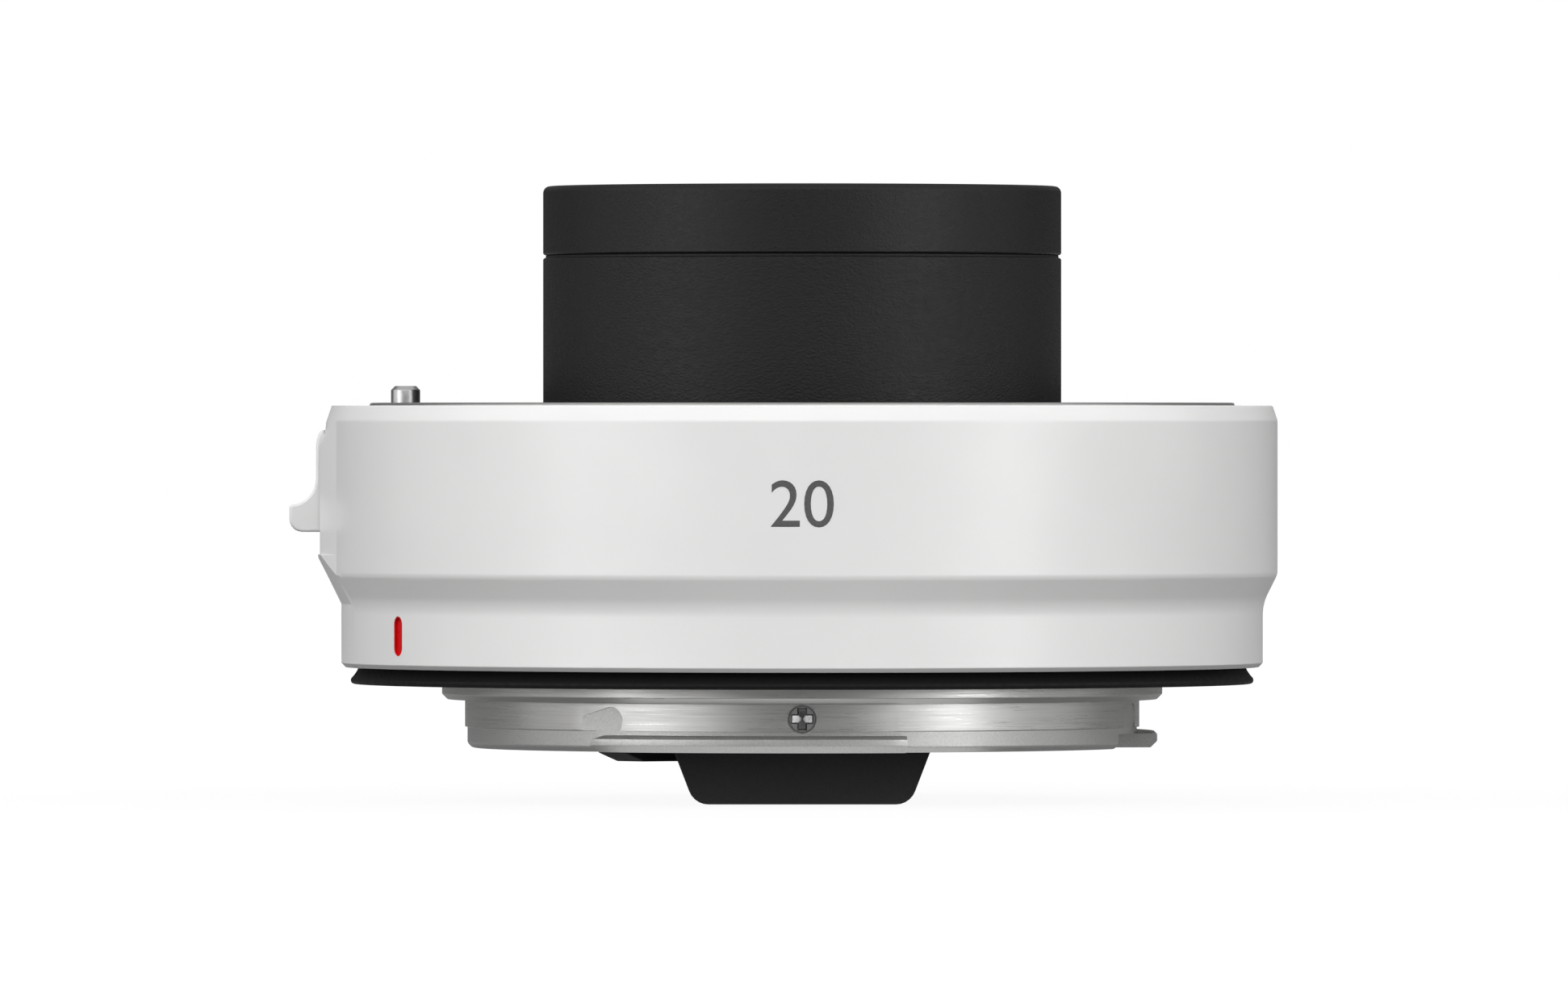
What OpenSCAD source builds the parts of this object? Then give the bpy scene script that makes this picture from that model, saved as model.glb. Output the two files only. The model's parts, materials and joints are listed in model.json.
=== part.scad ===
// Camera teleconverter: a short optical coupler that sits between a camera and a lens.
// Millimetres. +Z is the optical axis towards the lens, and the origin is on that axis
// in the plane of the camera-side flange. The release lever is on the -X side.
// Round sizes are stacked from the bayonet throat, inwards to the glass and outwards
// to the shell. Heights are stacked from the two flanges.

/* [Mounts] */
// Inside diameter of the bayonet throat, the same on both sides
throat_d = 54.0; // [50:0.1:60]
// Radial width of the steel mount rings outside the throat
ring_w = 5.4; // [5:0.1:7]
// Distance from the camera flange to the lens flange
flange_gap = 20.3; // [18.6:0.1:30]
// Thickness of the lens-side ring plate
lens_plate_t = 1.6; // [1.3:0.1:2.2]
// Thickness of the camera-side ring plate
camera_plate_t = 1.5; // [1.3:0.1:2]
// Depth of the locating spigot below the camera flange
spigot_h = 1.88; // [1.6:0.02:2.2]
// Length of the bayonet tube below the camera flange
tube_len = 5.5; // [5.2:0.1:7]
// Wall of the bayonet tube
tube_wall = 1.85; // [1.4:0.05:2.2]
// Radial height of the bayonet lugs
lug_rise = 1.35; // [1:0.05:1.7]
// Depth of the lugs' bearing face below the camera flange
lug_depth = 4.25; // [4:0.05:4.6]
// Diameter of the lock pin
lock_pin_d = 2.18; // [1.6:0.02:2.4]
// How far the lock pin stands out of the lens flange
lock_pin_rise = 1.25; // [0.8:0.05:1.5]

/* [Shell] */
// Radial width of the chassis rim between the mount rings and the shell
rim_w = 1.0; // [0.8:0.1:2]
// Wall of the shell's lower band
band_wall = 1.1; // [0.9:0.1:2]
// Radial step from the lower band out to the main body
body_step = 1.1; // [0.6:0.1:2]
// Height of the top of the lower band above the camera flange
band_top = 5.26; // [4.8:0.02:6]
// Height of the cone between the lower band and the main body
cone_h = 2.2; // [1.6:0.1:3]
// Height of the lens flange above the shell's end face
ring_proud = 0.22; // [0.1:0.02:0.6]
// Height of the chamfer at the shell's top edge
top_chamfer_h = 1.13; // [0.6:0.01:1.6]
// Radial width of that chamfer
top_chamfer_w = 0.37; // [0.2:0.01:0.6]

/* [Barrel] */
// Radial width of the band between bayonet tube and barrel that holds the contacts
contact_band = 4.0; // [3.8:0.1:5]
// How far the front of the barrel stands above the lens flange
barrel_rise = 16.2; // [14:0.1:24]
// Height of the front ring
front_ring_h = 5.16; // [4:0.02:7]
// Width of the groove below the front ring
groove_h = 0.2; // [0.1:0.05:0.4]
// Wall of the front barrel
barrel_wall = 1.5; // [1.2:0.1:2]
// Depth of the well round the barrel, below the lens flange
well_depth = 7.9; // [7.4:0.1:9]

/* [Release] */
// Width of the release lever
lever_w = 8.0; // [6:0.1:9]
// How far the lever's hook stands out from its plate
hook_reach = 2.0; // [1.2:0.1:3]
// Travel of the lever and the lock pin
release_travel = 1.6; // [1.3:0.05:1.7]

/* [Contacts] */
// Angle from one contact to the next, in degrees
contact_pitch = 5.05; // [4.9:0.05:5.6]
// Angle of the middle of the contact row, in degrees from +X
contact_angle = 97.5; // [90:0.5:102]
// Travel of a contact pin
contact_travel = 0.8; // [0.4:0.05:1]

/* [Rear baffle] */
// Depth of the tabs' ends below the camera flange
tab_depth = 9.5; // [8:0.02:12]
// Width of a tab where it leaves the baffle plate
tab_root_w = 20.0; // [16:0.1:22]
// Width of a tab at its end
tab_end_w = 16.0; // [12:0.1:18]
// Thickness of a tab
tab_t = 1.4; // [1:0.1:2]
// Distance of a tab's outer face from the axis
tab_out = 14.7; // [14:0.1:15.5]

/* [Hidden] */
$fn = 96;
// Clearance of fixed round fits, of running fits and of moving pieces
fit = 0.05;
run_fit = 0.05;
move_gap = 0.3;
// Small overshoot of a cutting shape
cut = 0.5;
cement_t = 0.02;
// Facets of a lens surface's full circle
lens_fn = 720;

// Radii, from the throat inwards
spigot_clear = 0.03;
lug_clear = 0.4;
lug_pass = 0.25;
throat_r = throat_d / 2;
spigot_r = throat_r - spigot_clear;
lug_r = throat_r - lug_clear;
tube_r = lug_r - lug_rise;
tube_in_r = tube_r - tube_wall;
barrel_r = tube_in_r - contact_band;
contact_r = barrel_r + contact_band / 2;
bore_r = barrel_r - barrel_wall;
front_cell_r = bore_r - fit;
cell_wall = 1.6;
rear_cell_inset = 0.4;
rear_cell_r = barrel_r - rear_cell_inset;
rear_cell_wall = 2.55;

// Radii, from the throat outwards
ring_r = throat_r + ring_w;
mid_r = throat_r + ring_w / 2;
sleeve_t = 1.0;
sleeve_r = throat_r + sleeve_t;
shell_in_r = ring_r + rim_w;
band_r = shell_in_r + band_wall;
body_r = band_r + body_step;
chassis_r = shell_in_r - 2 * fit;
shell_ledge_w = 1.4;
ledge_in_r = ring_r - shell_ledge_w;
chassis_wall = 2.0;
chassis_in_r = chassis_r - chassis_wall;
shelf_clear = 1.0;
shelf_in_r = tube_in_r + shelf_clear;

// Heights, down from the lens flange
lens_z = flange_gap;
front_z = lens_z + barrel_rise;
shell_top = lens_z - ring_proud;
plate_z = lens_z - lens_plate_t;
shell_ledge_t = 0.7;
shell_ledge_z = plate_z - shell_ledge_t;
lug_play = 0.1;
sleeve_h = lug_depth - lug_play;
leaf_t = 0.25;
leaf_z = lens_z - sleeve_h - leaf_t;
floor_z = lens_z - well_depth;
floor_t = 1.0;
floor_under = floor_z - floor_t;
shelf_t = 1.5;
shelf_under = floor_under - shelf_t;
ring_under = front_z - front_ring_h;
barrel_top = ring_under - groove_h;

// Heights, up from the camera flange
shell_bottom = 0.52;
bottom_chamfer_h = 0.33;
bottom_chamfer_w = 0.3;
cone_top = band_top + cone_h;
shim_t = 0.15;
rear_plate_t = 1.5;
rear_plate_z = camera_plate_t + shim_t;
rear_plate_top = rear_plate_z + rear_plate_t;

// Screws: every ring has four, turned away from the lever and the contacts
screw_shank_r = 0.8;
screw_head_r = 1.5;
screw_head_h = 0.8;
small_shank_r = 0.55;
small_head_r = 0.98;
small_head_h = 0.5;
thread_len = 4.5;
thread_gap = 0.4;
ring_screw_angles = [45, 135, 225, 315];
boss_r = 2.0;

// Bayonet sectors in degrees: male lugs as the part sits on a camera, the turn that locks it,
// and the female lugs that are left between the ways in for such male lugs
male_lugs = [[234, 287], [350, 400], [470, 520]];
lock_turn = 60;
lug_pass_angle = 2;
next_starts = [male_lugs[1][0], male_lugs[2][0], male_lugs[0][0] + 360];
female_lugs = [for (k = [0 : 2])
    [male_lugs[k][1] + lock_turn + lug_pass_angle, next_starts[k] + lock_turn - lug_pass_angle]];
lug_edge = 0.25;
lug_lead = 1.0;
lug_lead_angle = 19;
lug_end_ease = 0.48;
relief_depth = 0.19;
relief_over_lug = 0.32;
relief_z = lug_depth - relief_over_lug;

// Lock and release, at the angle of the -X axis
lock_hole_gap = 0.11;
lock_hole_r = lock_pin_d / 2 + lock_hole_gap;
lock_shoulder = 0.2;
lock_shank_r = lock_pin_d / 2 + lock_shoulder;
lock_tail_r = 0.8;
lock_tail_z = rear_plate_top + release_travel + move_gap;
lock_wire_r = 0.2;
lock_coil_gap = 0.15;
lock_coil_r = lock_tail_r + lock_coil_gap + lock_wire_r;
pad_rise = 0.4;
pad_wall = 0.9;
pad_slope_w = 3.1;
pad_lip = 0.18;
recess_depth = 0.4;
lever_proud = 0.3;
lever_float = 0.1;
lever_side_gap = 0.2;
recess_above_cone = 1.47;
recess_z = cone_top + recess_above_cone;
recess_edge = 0.2;
recess_top = shell_top - top_chamfer_h - recess_edge;
lever_end_gap = 0.12;
lever_bottom = recess_z + release_travel + lever_end_gap;
lever_top_gap = 0.5;
lever_top = recess_top - lever_top_gap;
hook_face_h = 2.0;
hook_round = 0.95;
lever_top_round = 0.5;
lever_top_slope = 1.3;
neck_w = 4.8;
neck_h = 2.4;
neck_drop = 2.25;
neck_top = lever_top - neck_drop;
pad_face = body_r + pad_rise;
recess_floor = pad_face - recess_depth;
lever_face = pad_face + lever_proud;
pad_half = lever_w / 2 + pad_wall;
pad_foot = pad_half + pad_slope_w;
carriage_w = 6.0;
carriage_t = 1.1;
carriage_gap = 0.5;
carriage_x = shell_in_r - carriage_gap;
carriage_over = 0.2;
carriage_under = 2.1;
carriage_top = neck_top + carriage_over;
carriage_bottom = neck_top - neck_h - carriage_under;
spring_gap = 0.2;
arm_h = 1.9;
arm_top = carriage_bottom + arm_h;
pocket_top = carriage_top + move_gap;
pocket_bottom = carriage_bottom - release_travel - move_gap;

// Index marks
index_angle = 209.9;
index_w = 1.26;
index_h = 2.96;
index_z = 3.0;
index_depth = 0.35;
paint_t = 0.15;
paint_side = 0.1;
paint_sink = 0.03;
lens_index_w = 0.8;
lens_index_len = 1.7;

// Contacts
contact_count = 12;
block_side_gap = 0.4;
block_end = 3.5;
contact_half = contact_pitch * (contact_count - 1) / 2;
pin_r = 0.45;
pin_collar_r = 0.66;
pin_collar_h = 0.75;
pin_bore_r = 0.76;
pin_stay = 0.4;
pin_rise = contact_travel + pin_stay;
pin_roof_t = 0.8;
pin_block_proud = 0.6;
pin_block_z = floor_z + pin_block_proud;
pin_block_drop = 2.5;
pin_block_under = floor_under - pin_block_drop;
pin_ear = 5;
collar_top = pin_block_z - pin_roof_t - run_fit;
collar_under = collar_top - pin_collar_h;
flex_t = 0.2;
flex_lip = 0.15;
rear_block_depth = 6.87;
pad_l = 2.2;
pad_w = 1.3;
pad_t = 0.3;
ramp_angle = 20;
ramp_len = 1.85;
ramp_end = 7.1;
plain_end = 3.1;
rear_block_start = contact_angle - contact_half - plain_end;
rear_block_stop = contact_angle + contact_half + ramp_end;
rear_ear = 7.5;
rear_ear_depth = 4.9;

// Circuit board
board_gap = 1.5;
board_t = 0.8;
board_z = rear_plate_top + board_gap;
board_top = board_z + board_t;
board_edge_gap = 0.2;
board_in_r = barrel_r + board_edge_gap;
board_out_r = mid_r - boss_r - move_gap;
board_mid_r = (board_in_r + board_out_r) / 2;
board_post_r = 1.2;
board_screw_angles = [20, 200, 290];

// Rear baffle
baffle_gap = 0.1;
baffle_r = tube_in_r - baffle_gap;
baffle_wall = 1.7;
baffle_inset = 0.65;
baffle_z = baffle_inset - tube_len;
baffle_plate_t = 1.1;
baffle_top = -1.6;
baffle_screw_z = -3.0;
baffle_screw_angles = [270, 30, 150];
window_w = 33;
window_h = 23;
tab_round = 1.55;
contact_gap_end = 2;

// Optics: radii of the glass, then the surfaces from the front to the rear
front_lip_t = 2.0;
front_recess = 1.5;
front_round = 0.5;
cell_drop = 2.5;
cell_ledge = 1.1;
cell_z = floor_under - cell_drop;
cell_top = front_z - front_lip_t;
group_1_r = front_cell_r - cell_wall - fit;
group_step = 3.2;
group_2_r = group_1_r - group_step;
element_6_r = group_2_r + group_step / 2;
element_7_r = rear_cell_r - rear_cell_wall - fit;
seat_w = 1.2;
front_1 = front_z - front_recess;
thick_1 = 6.0;
curve_1 = 45;
curve_12 = 70;
rear_1 = front_1 - thick_1;
front_2 = rear_1 - cement_t;
thick_2 = 1.4;
curve_2 = 55;
rear_2 = front_2 - thick_2;
seat_1 = rear_2 - sag(curve_2, group_1_r);
seat_2 = cell_z + cell_ledge;
thick_5 = 1.2;
curve_5 = 80;
rear_5 = seat_2 + sag(curve_5, group_2_r);
front_5 = rear_5 + thick_5;
curve_45 = 34;
rear_4 = front_5 + cement_t;
thick_4 = 6.6;
front_4 = rear_4 + thick_4;
curve_34 = 30;
rear_3 = front_4 + cement_t;
thick_3 = 1.2;
front_3 = rear_3 + thick_3;
curve_3 = 90;
group_2_top = front_3 + sag(curve_3, group_2_r);
retainer_h = 1.2;
spacer_t = 0.5;
rim_6 = cell_z - spacer_t;
curve_6 = 60;
front_6 = rim_6 - sag(curve_6, element_6_r);
thick_6 = 1.4;
rear_6 = front_6 - thick_6;
curve_6_rear = 150;
seat_6_r = element_6_r - seat_w;
seat_6 = rear_6 + sag(curve_6_rear, seat_6_r) - cement_t;
rear_cell_z = -3.4;
rear_recess = 1.3;
rear_7 = rear_cell_z + rear_recess;
thick_7 = 4.6;
front_7 = rear_7 + thick_7;
curve_7 = 70;
curve_7_rear = 120;
seat_7_r = element_7_r - seat_w;
seat_7 = front_7 - sag(curve_7, seat_7_r) + cement_t;

// Depth of a spherical surface of the given curve at the given radius
function sag(curve, r) = curve - sqrt(curve * curve - r * r);

// Heights of the shell's cone and of its top chamfer, carried on past the body's radius
function cone_z(r) = band_top + (r - band_r) * cone_h / body_step;
function chamfer_z(r) = shell_top - (r - body_r + top_chamfer_w) * top_chamfer_h / top_chamfer_w;

// Points of an arc about a centre, from one angle to another
function arc(centre, r, from, to, steps) =
    [for (i = [0 : steps]) let (a = from + (to - from) * i / steps) centre + r * [cos(a), sin(a)]];

function pin_angle(i) = contact_angle + (i - (contact_count + 1) / 2) * contact_pitch;
function pin_name(i) = str("contact_pin_", i < 10 ? "0" : "", i);
function element_name(i) = str("lens_element_", i);

// Round ring about the axis
module ring(r_out, r_in, z0, z1) {
    difference() {
        translate([0, 0, z0]) cylinder(h = z1 - z0, r = r_out);
        translate([0, 0, z0 - cut]) cylinder(h = z1 - z0 + 2 * cut, r = r_in);
    }
}

// Part of a ring between two angles
module sector(r_in, r_out, z0, z1, a0, a1) {
    rotate([0, 0, a0])
        rotate_extrude(angle = a1 - a0)
            translate([r_in, z0]) square([r_out - r_in, z1 - z0]);
}

// Copies at each angle round the axis, moved out to a radius
module around(angles, r) {
    for (a = angles) rotate([0, 0, a]) translate([r, 0, 0]) children();
}

// Slot with round ends that runs along Z, cut radially from r0 to r1
module radial_slot(angle, r0, r1, z, w, h) {
    rotate([0, 0, angle]) translate([r0, 0, z]) rotate([0, 90, 0])
        linear_extrude(r1 - r0) slot_outline(w, h);
}

module slot_outline(w, h) {
    square([h - w, w], center = true);
    for (side = [-1, 1]) translate([side * (h - w) / 2, 0]) circle(w / 2);
}

// Cross recess in a screw head whose top is at z = 0
module cross_recess(head_r) {
    depth = head_r * 0.45;
    arm = head_r * 1.25;
    blade = head_r * 0.28;
    for (turn = [0, 90]) rotate([0, 0, turn])
        translate([-arm / 2, -blade / 2, -depth]) cube([arm, blade, depth + cut]);
}

// Countersunk screw, head up, with its top at z = 0
module flat_screw(shank_r, head_r, head_h, length) {
    difference() {
        union() {
            translate([0, 0, -head_h]) cylinder(h = head_h, r1 = shank_r, r2 = head_r);
            translate([0, 0, -length]) cylinder(h = length - head_h / 2, r = shank_r);
        }
        cross_recess(head_r);
    }
}

// Hole for that screw
module flat_screw_hole(shank_r, head_r, head_h, length) {
    translate([0, 0, -head_h]) cylinder(h = head_h, r1 = shank_r + fit, r2 = head_r + fit);
    cylinder(h = cut, r = head_r + fit);
    translate([0, 0, -length]) cylinder(h = length, r = shank_r + fit);
}

// Screw with a round head that sits on z = 0 and a shank below
module round_screw(shank_r, head_r, head_h, length) {
    difference() {
        union() {
            cylinder(h = head_h, r = head_r);
            translate([0, 0, -length]) cylinder(h = length, r = shank_r);
        }
        translate([0, 0, head_h]) cross_recess(head_r);
    }
}

// Coil spring between two heights: one tube swept along a helix
module coil(mean_r, wire_r, z0, z1, turns, steps, sides) {
    rings = turns * steps;
    rise = z1 - z0 - 2 * wire_r;
    points = [for (i = [0 : rings], j = [0 : sides - 1])
        let (a = 360 * i / steps, b = 360 * j / sides, r = mean_r + wire_r * cos(b))
        [r * cos(a), r * sin(a), z0 + wire_r + rise * i / rings + wire_r * sin(b)]];
    walls = [for (i = [0 : rings - 1], j = [0 : sides - 1])
        let (a = i * sides + j, b = i * sides + (j + 1) % sides)
        each [[a, b, b + sides], [a, b + sides, a + sides]]];
    first = [for (j = [1 : sides - 2]) [0, j + 1, j]];
    end = rings * sides;
    tail = [for (j = [1 : sides - 2]) [end, end + j, end + j + 1]];
    polyhedron(points, concat(walls, first, tail), convexity = 10);
}

// Outline, in radius and height, of what lies below a lens surface: a dome for a positive
// curve, a dish for a negative one
module below_surface(z, curve, r) {
    reach = 2 * r;
    if (curve > 0) {
        translate([0, z - curve]) circle(curve, $fn = lens_fn);
    } else {
        difference() {
            translate([0, z - reach]) square([reach, reach + sag(-curve, r)]);
            translate([0, z - curve]) circle(-curve, $fn = lens_fn);
        }
    }
}

// Glass element, front surface up
module element(r, front, front_curve, rear, rear_curve) {
    low = rear - sag(abs(rear_curve), r) - cut;
    high = front + sag(abs(front_curve), r) + cut;
    color([0.75, 0.85, 0.8, 0.6]) rotate_extrude() intersection() {
        translate([0, low]) square([r, high - low]);
        below_surface(front, front_curve, r);
        mirror([0, 1]) below_surface(-rear, rear_curve, r);
    }
}

// Outline of the lever pad in plan, on the -X side of the shell
module pad_outline(face) {
    foot_x = sqrt(body_r * body_r - pad_foot * pad_foot);
    polygon([
        [-band_r + cut, pad_foot], [-foot_x, pad_foot], [-face, pad_half],
        [-face, -pad_half], [-foot_x, -pad_foot], [-band_r + cut, -pad_foot]
    ]);
}

// Raised pad: the outline, held between the cone and the top chamfer carried outwards
module lever_pad() {
    reach = pad_face + pad_wall;
    intersection() {
        rotate_extrude() polygon([
            [band_r - cut, cone_z(band_r)], [band_r, cone_z(band_r)], [reach, cone_z(reach)],
            [reach, chamfer_z(reach)], [body_r - top_chamfer_w, shell_top], [band_r - cut, shell_top]
        ]);
        union() {
            linear_extrude(lens_z) pad_outline(pad_face);
            linear_extrude(recess_z) pad_outline(pad_face + pad_lip);
        }
    }
}

module body_shell() {
    slot_w = neck_w / 2 + move_gap;
    slot_low = neck_top - neck_h - release_travel - move_gap;
    channel_w = lever_w / 2 + lever_side_gap;
    outside = pad_face + pad_wall;
    color("white") difference() {
        union() {
            rotate_extrude() polygon([
                [shell_in_r, shell_bottom], [band_r - bottom_chamfer_w, shell_bottom],
                [band_r, shell_bottom + bottom_chamfer_h], [band_r, band_top], [body_r, cone_top],
                [body_r, shell_top - top_chamfer_h], [body_r - top_chamfer_w, shell_top],
                [ring_r + fit, shell_top], [ring_r + fit, plate_z], [ledge_in_r, plate_z],
                [ledge_in_r, shell_ledge_z], [shell_in_r, shell_ledge_z]
            ]);
            lever_pad();
        }
        translate([-outside, -channel_w, recess_z])
            cube([outside - recess_floor, 2 * channel_w, recess_top - recess_z]);
        translate([-outside, -slot_w, slot_low])
            cube([outside - ledge_in_r, 2 * slot_w, neck_top + move_gap - slot_low]);
        radial_slot(index_angle, band_r - index_depth, band_r + cut, index_z, index_w, index_h);
        lens_index_slot(index_depth, lens_index_w);
    }
}

// Slot in the shell's end face for the lens-side mark, one locking turn on from the other
module lens_index_slot(depth, w) {
    mark_r = (ring_r + body_r - top_chamfer_w) / 2;
    rotate([0, 0, index_angle + lock_turn]) translate([mark_r, 0, shell_top - depth])
        linear_extrude(depth + cut) slot_outline(w, lens_index_len - lens_index_w + w);
}

// Paint on the floor and the walls of the recess
module camera_index() {
    paint_r = band_r - index_depth;
    w = index_w - cement_t;
    h = index_h - cement_t;
    color("red") difference() {
        radial_slot(index_angle, paint_r, band_r - paint_sink, index_z, w, h);
        radial_slot(index_angle, paint_r + paint_t, band_r + cut, index_z, w - 2 * paint_side, h - 2 * paint_side);
    }
}

module lens_index() {
    color("red") intersection() {
        lens_index_slot(index_depth, lens_index_w - cement_t);
        translate([-body_r, -body_r, shell_top - index_depth]) cube([2 * body_r, 2 * body_r, paint_t]);
    }
}

module chassis() {
    pocket_w = carriage_w / 2 + move_gap;
    pocket_in = sleeve_r - cut;
    color("dimgray") difference() {
        union() {
            rotate_extrude() polygon([
                [chassis_in_r, rear_plate_top], [chassis_r, rear_plate_top], [chassis_r, shell_ledge_z],
                [ledge_in_r - fit, shell_ledge_z], [ledge_in_r - fit, plate_z], [sleeve_r + fit, plate_z],
                [sleeve_r + fit, floor_under], [shelf_in_r, floor_under], [shelf_in_r, shelf_under],
                [chassis_in_r, shelf_under]
            ]);
            around(ring_screw_angles, mid_r)
                translate([0, 0, rear_plate_top]) cylinder(h = shelf_under - rear_plate_top + cut, r = boss_r);
        }
        around(ring_screw_angles, mid_r) {
            translate([0, 0, rear_plate_top - cut]) cylinder(h = thread_len + cut, r = screw_shank_r + fit);
            translate([0, 0, plate_z - thread_len]) cylinder(h = thread_len + cut, r = screw_shank_r + fit);
        }
        around(barrel_screw_angles, barrel_screw_r)
            translate([0, 0, shelf_under - cut]) cylinder(h = shelf_t + 2 * cut, r = small_shank_r + fit);
        translate([-chassis_r - cut, -pocket_w, pocket_bottom])
            cube([chassis_r + cut - pocket_in, 2 * pocket_w, pocket_top - pocket_bottom]);
        translate([-mid_r, 0, pocket_bottom]) cylinder(h = lens_z, r = lock_shank_r + run_fit);
        translate([-mid_r, 0, rear_plate_top - cut])
            cylinder(h = pocket_bottom - rear_plate_top + 2 * cut, r = lock_coil_r + lock_wire_r + spring_gap);
    }
}

// Plate that closes the chassis towards the camera and carries the board
module rear_plate() {
    color("gray") difference() {
        union() {
            ring(chassis_r, barrel_r + fit, rear_plate_z, rear_plate_top);
            around(board_screw_angles, board_mid_r)
                translate([0, 0, rear_plate_z]) cylinder(h = board_z - rear_plate_z, r = board_post_r);
        }
        around(ring_screw_angles, mid_r)
            translate([0, 0, rear_plate_z - cut]) cylinder(h = rear_plate_t + 2 * cut, r = screw_shank_r + fit);
        around(board_screw_angles, board_mid_r)
            translate([0, 0, rear_plate_z + cut]) cylinder(h = board_z, r = small_shank_r + fit);
        around(rear_screw_angles, contact_r)
            translate([0, 0, rear_plate_z - cut]) cylinder(h = rear_plate_t + 2 * cut, r = small_shank_r + fit);
        sector(contact_r - flex_t, contact_r + 2 * flex_t, rear_plate_z - cut, rear_plate_top + cut,
            contact_angle - rear_flex_half - flex_slot_end, contact_angle + rear_flex_half + flex_slot_end);
    }
}

module mount_shim() {
    color("silver") difference() {
        ring(seal_root_r - fit, tube_in_r, camera_plate_t, rear_plate_z);
        around(ring_screw_angles, mid_r) cylinder(h = rear_plate_top, r = screw_shank_r + fit);
    }
}

// Camera side: seal step, male bayonet and its screws
camera_ring_inset = 0.2;
camera_ring_r = ring_r - camera_ring_inset;
seal_root_t = 0.6;
seal_root_z = camera_plate_t - seal_root_t;
seal_root_w = 1.15;
seal_root_r = camera_ring_r - seal_root_w;
spigot_chamfer = 0.4;
tube_end_round = 0.35;
counterbore_gap = 0.09;
counterbore_r = small_head_r + counterbore_gap;
counterbore_depth = 0.75;
baffle_screw_len = 1.7;
notch_angles = [340, 357];
notch_below_lug = 0.15;
notch_z = lug_depth + notch_below_lug;
runout_r = 1.04;
runout_depth = 0.14;
runout_len = 2.0;
runout_slope = 16;
runout_marks = [[236, -3.2], [347.5, -3.15]];

module camera_mount() {
    color("lightgray") difference() {
        union() {
            rotate_extrude() polygon([
                [tube_in_r, -tube_len], [tube_r - relief_depth - tube_end_round, -tube_len],
                [tube_r - relief_depth, tube_end_round - tube_len], [tube_r - relief_depth, -relief_z],
                [tube_r, -relief_z], [tube_r, -spigot_h], [spigot_r - spigot_chamfer, -spigot_h],
                [spigot_r, spigot_chamfer - spigot_h], [spigot_r, 0], [camera_ring_r, 0],
                [camera_ring_r, seal_root_z], [seal_root_r, seal_root_z], [seal_root_r, camera_plate_t],
                [tube_in_r, camera_plate_t]
            ]);
            for (lug = male_lugs) male_lug(lug);
        }
        around(ring_screw_angles, mid_r) mirror([0, 0, 1])
            flat_screw_hole(screw_shank_r, screw_head_r, screw_head_h, 2 * camera_plate_t);
        translate([-mid_r, 0, -cut]) cylinder(h = camera_plate_t + 2 * cut, r = lock_hole_r);
        around(baffle_screw_angles, 0) translate([0, 0, baffle_screw_z]) rotate([0, 90, 0]) {
            cylinder(h = tube_r + cut, r = small_shank_r + fit);
            translate([0, 0, tube_r - counterbore_depth]) cylinder(h = lug_rise, r = counterbore_r);
        }
        sector(tube_in_r - cut, throat_r, -tube_len - cut, -notch_z, notch_angles[0], notch_angles[1]);
        for (mark = runout_marks) cutter_runout(mark[0], mark[1]);
    }
}

// One lug of the male bayonet, with eased edges and a lead-in at the end that turns in first
module male_lug(lug) {
    root_r = tube_in_r + cut;
    rotate([0, 0, lug[0]]) difference() {
        rotate_extrude(angle = lug[1] - lug[0]) polygon([
            [root_r, -tube_len], [lug_r - 2 * lug_edge, -tube_len], [lug_r, 2 * lug_edge - tube_len],
            [lug_r, -lug_depth - lug_edge], [lug_r - lug_edge, -lug_depth], [root_r, -lug_depth]
        ]);
        translate([root_r - cut, lug_lead, -lug_depth]) rotate([lug_lead_angle, 0, 0])
            translate([0, -3 * lug_lead, 0]) cube([lug_r - root_r + 2 * cut, 3 * lug_lead, lug_lead]);
        translate([root_r - cut, lug_end_ease, -tube_len]) rotate([-45, 0, 0])
            translate([0, -3 * lug_end_ease, -lug_end_ease])
                cube([lug_r - root_r + 2 * cut, 4 * lug_end_ease, lug_end_ease]);
    }
}

// Shallow round-ended mark, sloped, where the cutter that made a lug left the tube
module cutter_runout(angle, z) {
    rotate([0, 0, angle]) translate([tube_r - runout_depth, 0, z]) rotate([0, 90, 0])
        rotate([0, 0, 270 + runout_slope]) translate([runout_len / 2, 0, 0])
            linear_extrude(lug_rise) slot_outline(2 * runout_r, runout_len + 2 * runout_r);
}

module camera_mount_screws() {
    length = rear_plate_top + thread_len - thread_gap;
    color("silver") around(ring_screw_angles, mid_r) mirror([0, 0, 1])
        flat_screw(screw_shank_r, screw_head_r, screw_head_h, length);
}

// Rubber seal: a root held above the ring's step, and a lip that flares out below the shell
lip_flare = 1.6;
lip_r = camera_ring_r + lip_flare;
lip_z = -0.73;
lip_edge = 0.15;
lip_foot = 0.25;
lip_web = 0.5;
lip_web_rise = 0.65;
lip_hollow_r = 2.5;
lip_hollow_out = 1.71;
lip_hollow_up = 0.955;

module mount_seal() {
    root_out = shell_in_r - 3 * fit;
    color([0.1, 0.1, 0.1]) rotate_extrude() difference() {
        polygon([
            [seal_root_r + fit, rear_plate_z - fit], [root_out, rear_plate_z - fit],
            [root_out, shell_bottom - fit], [lip_r, shell_bottom - fit], [lip_r, lip_z + lip_edge],
            [lip_r - lip_edge, lip_z], [lip_r - lip_edge - lip_foot, lip_z],
            [camera_ring_r + lip_web, lip_z + lip_web_rise],
            [camera_ring_r + fit, seal_root_z], [seal_root_r + fit, seal_root_z]
        ]);
        translate([lip_r + lip_hollow_out, shell_bottom + lip_hollow_up]) circle(lip_hollow_r);
    }
}

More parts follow.
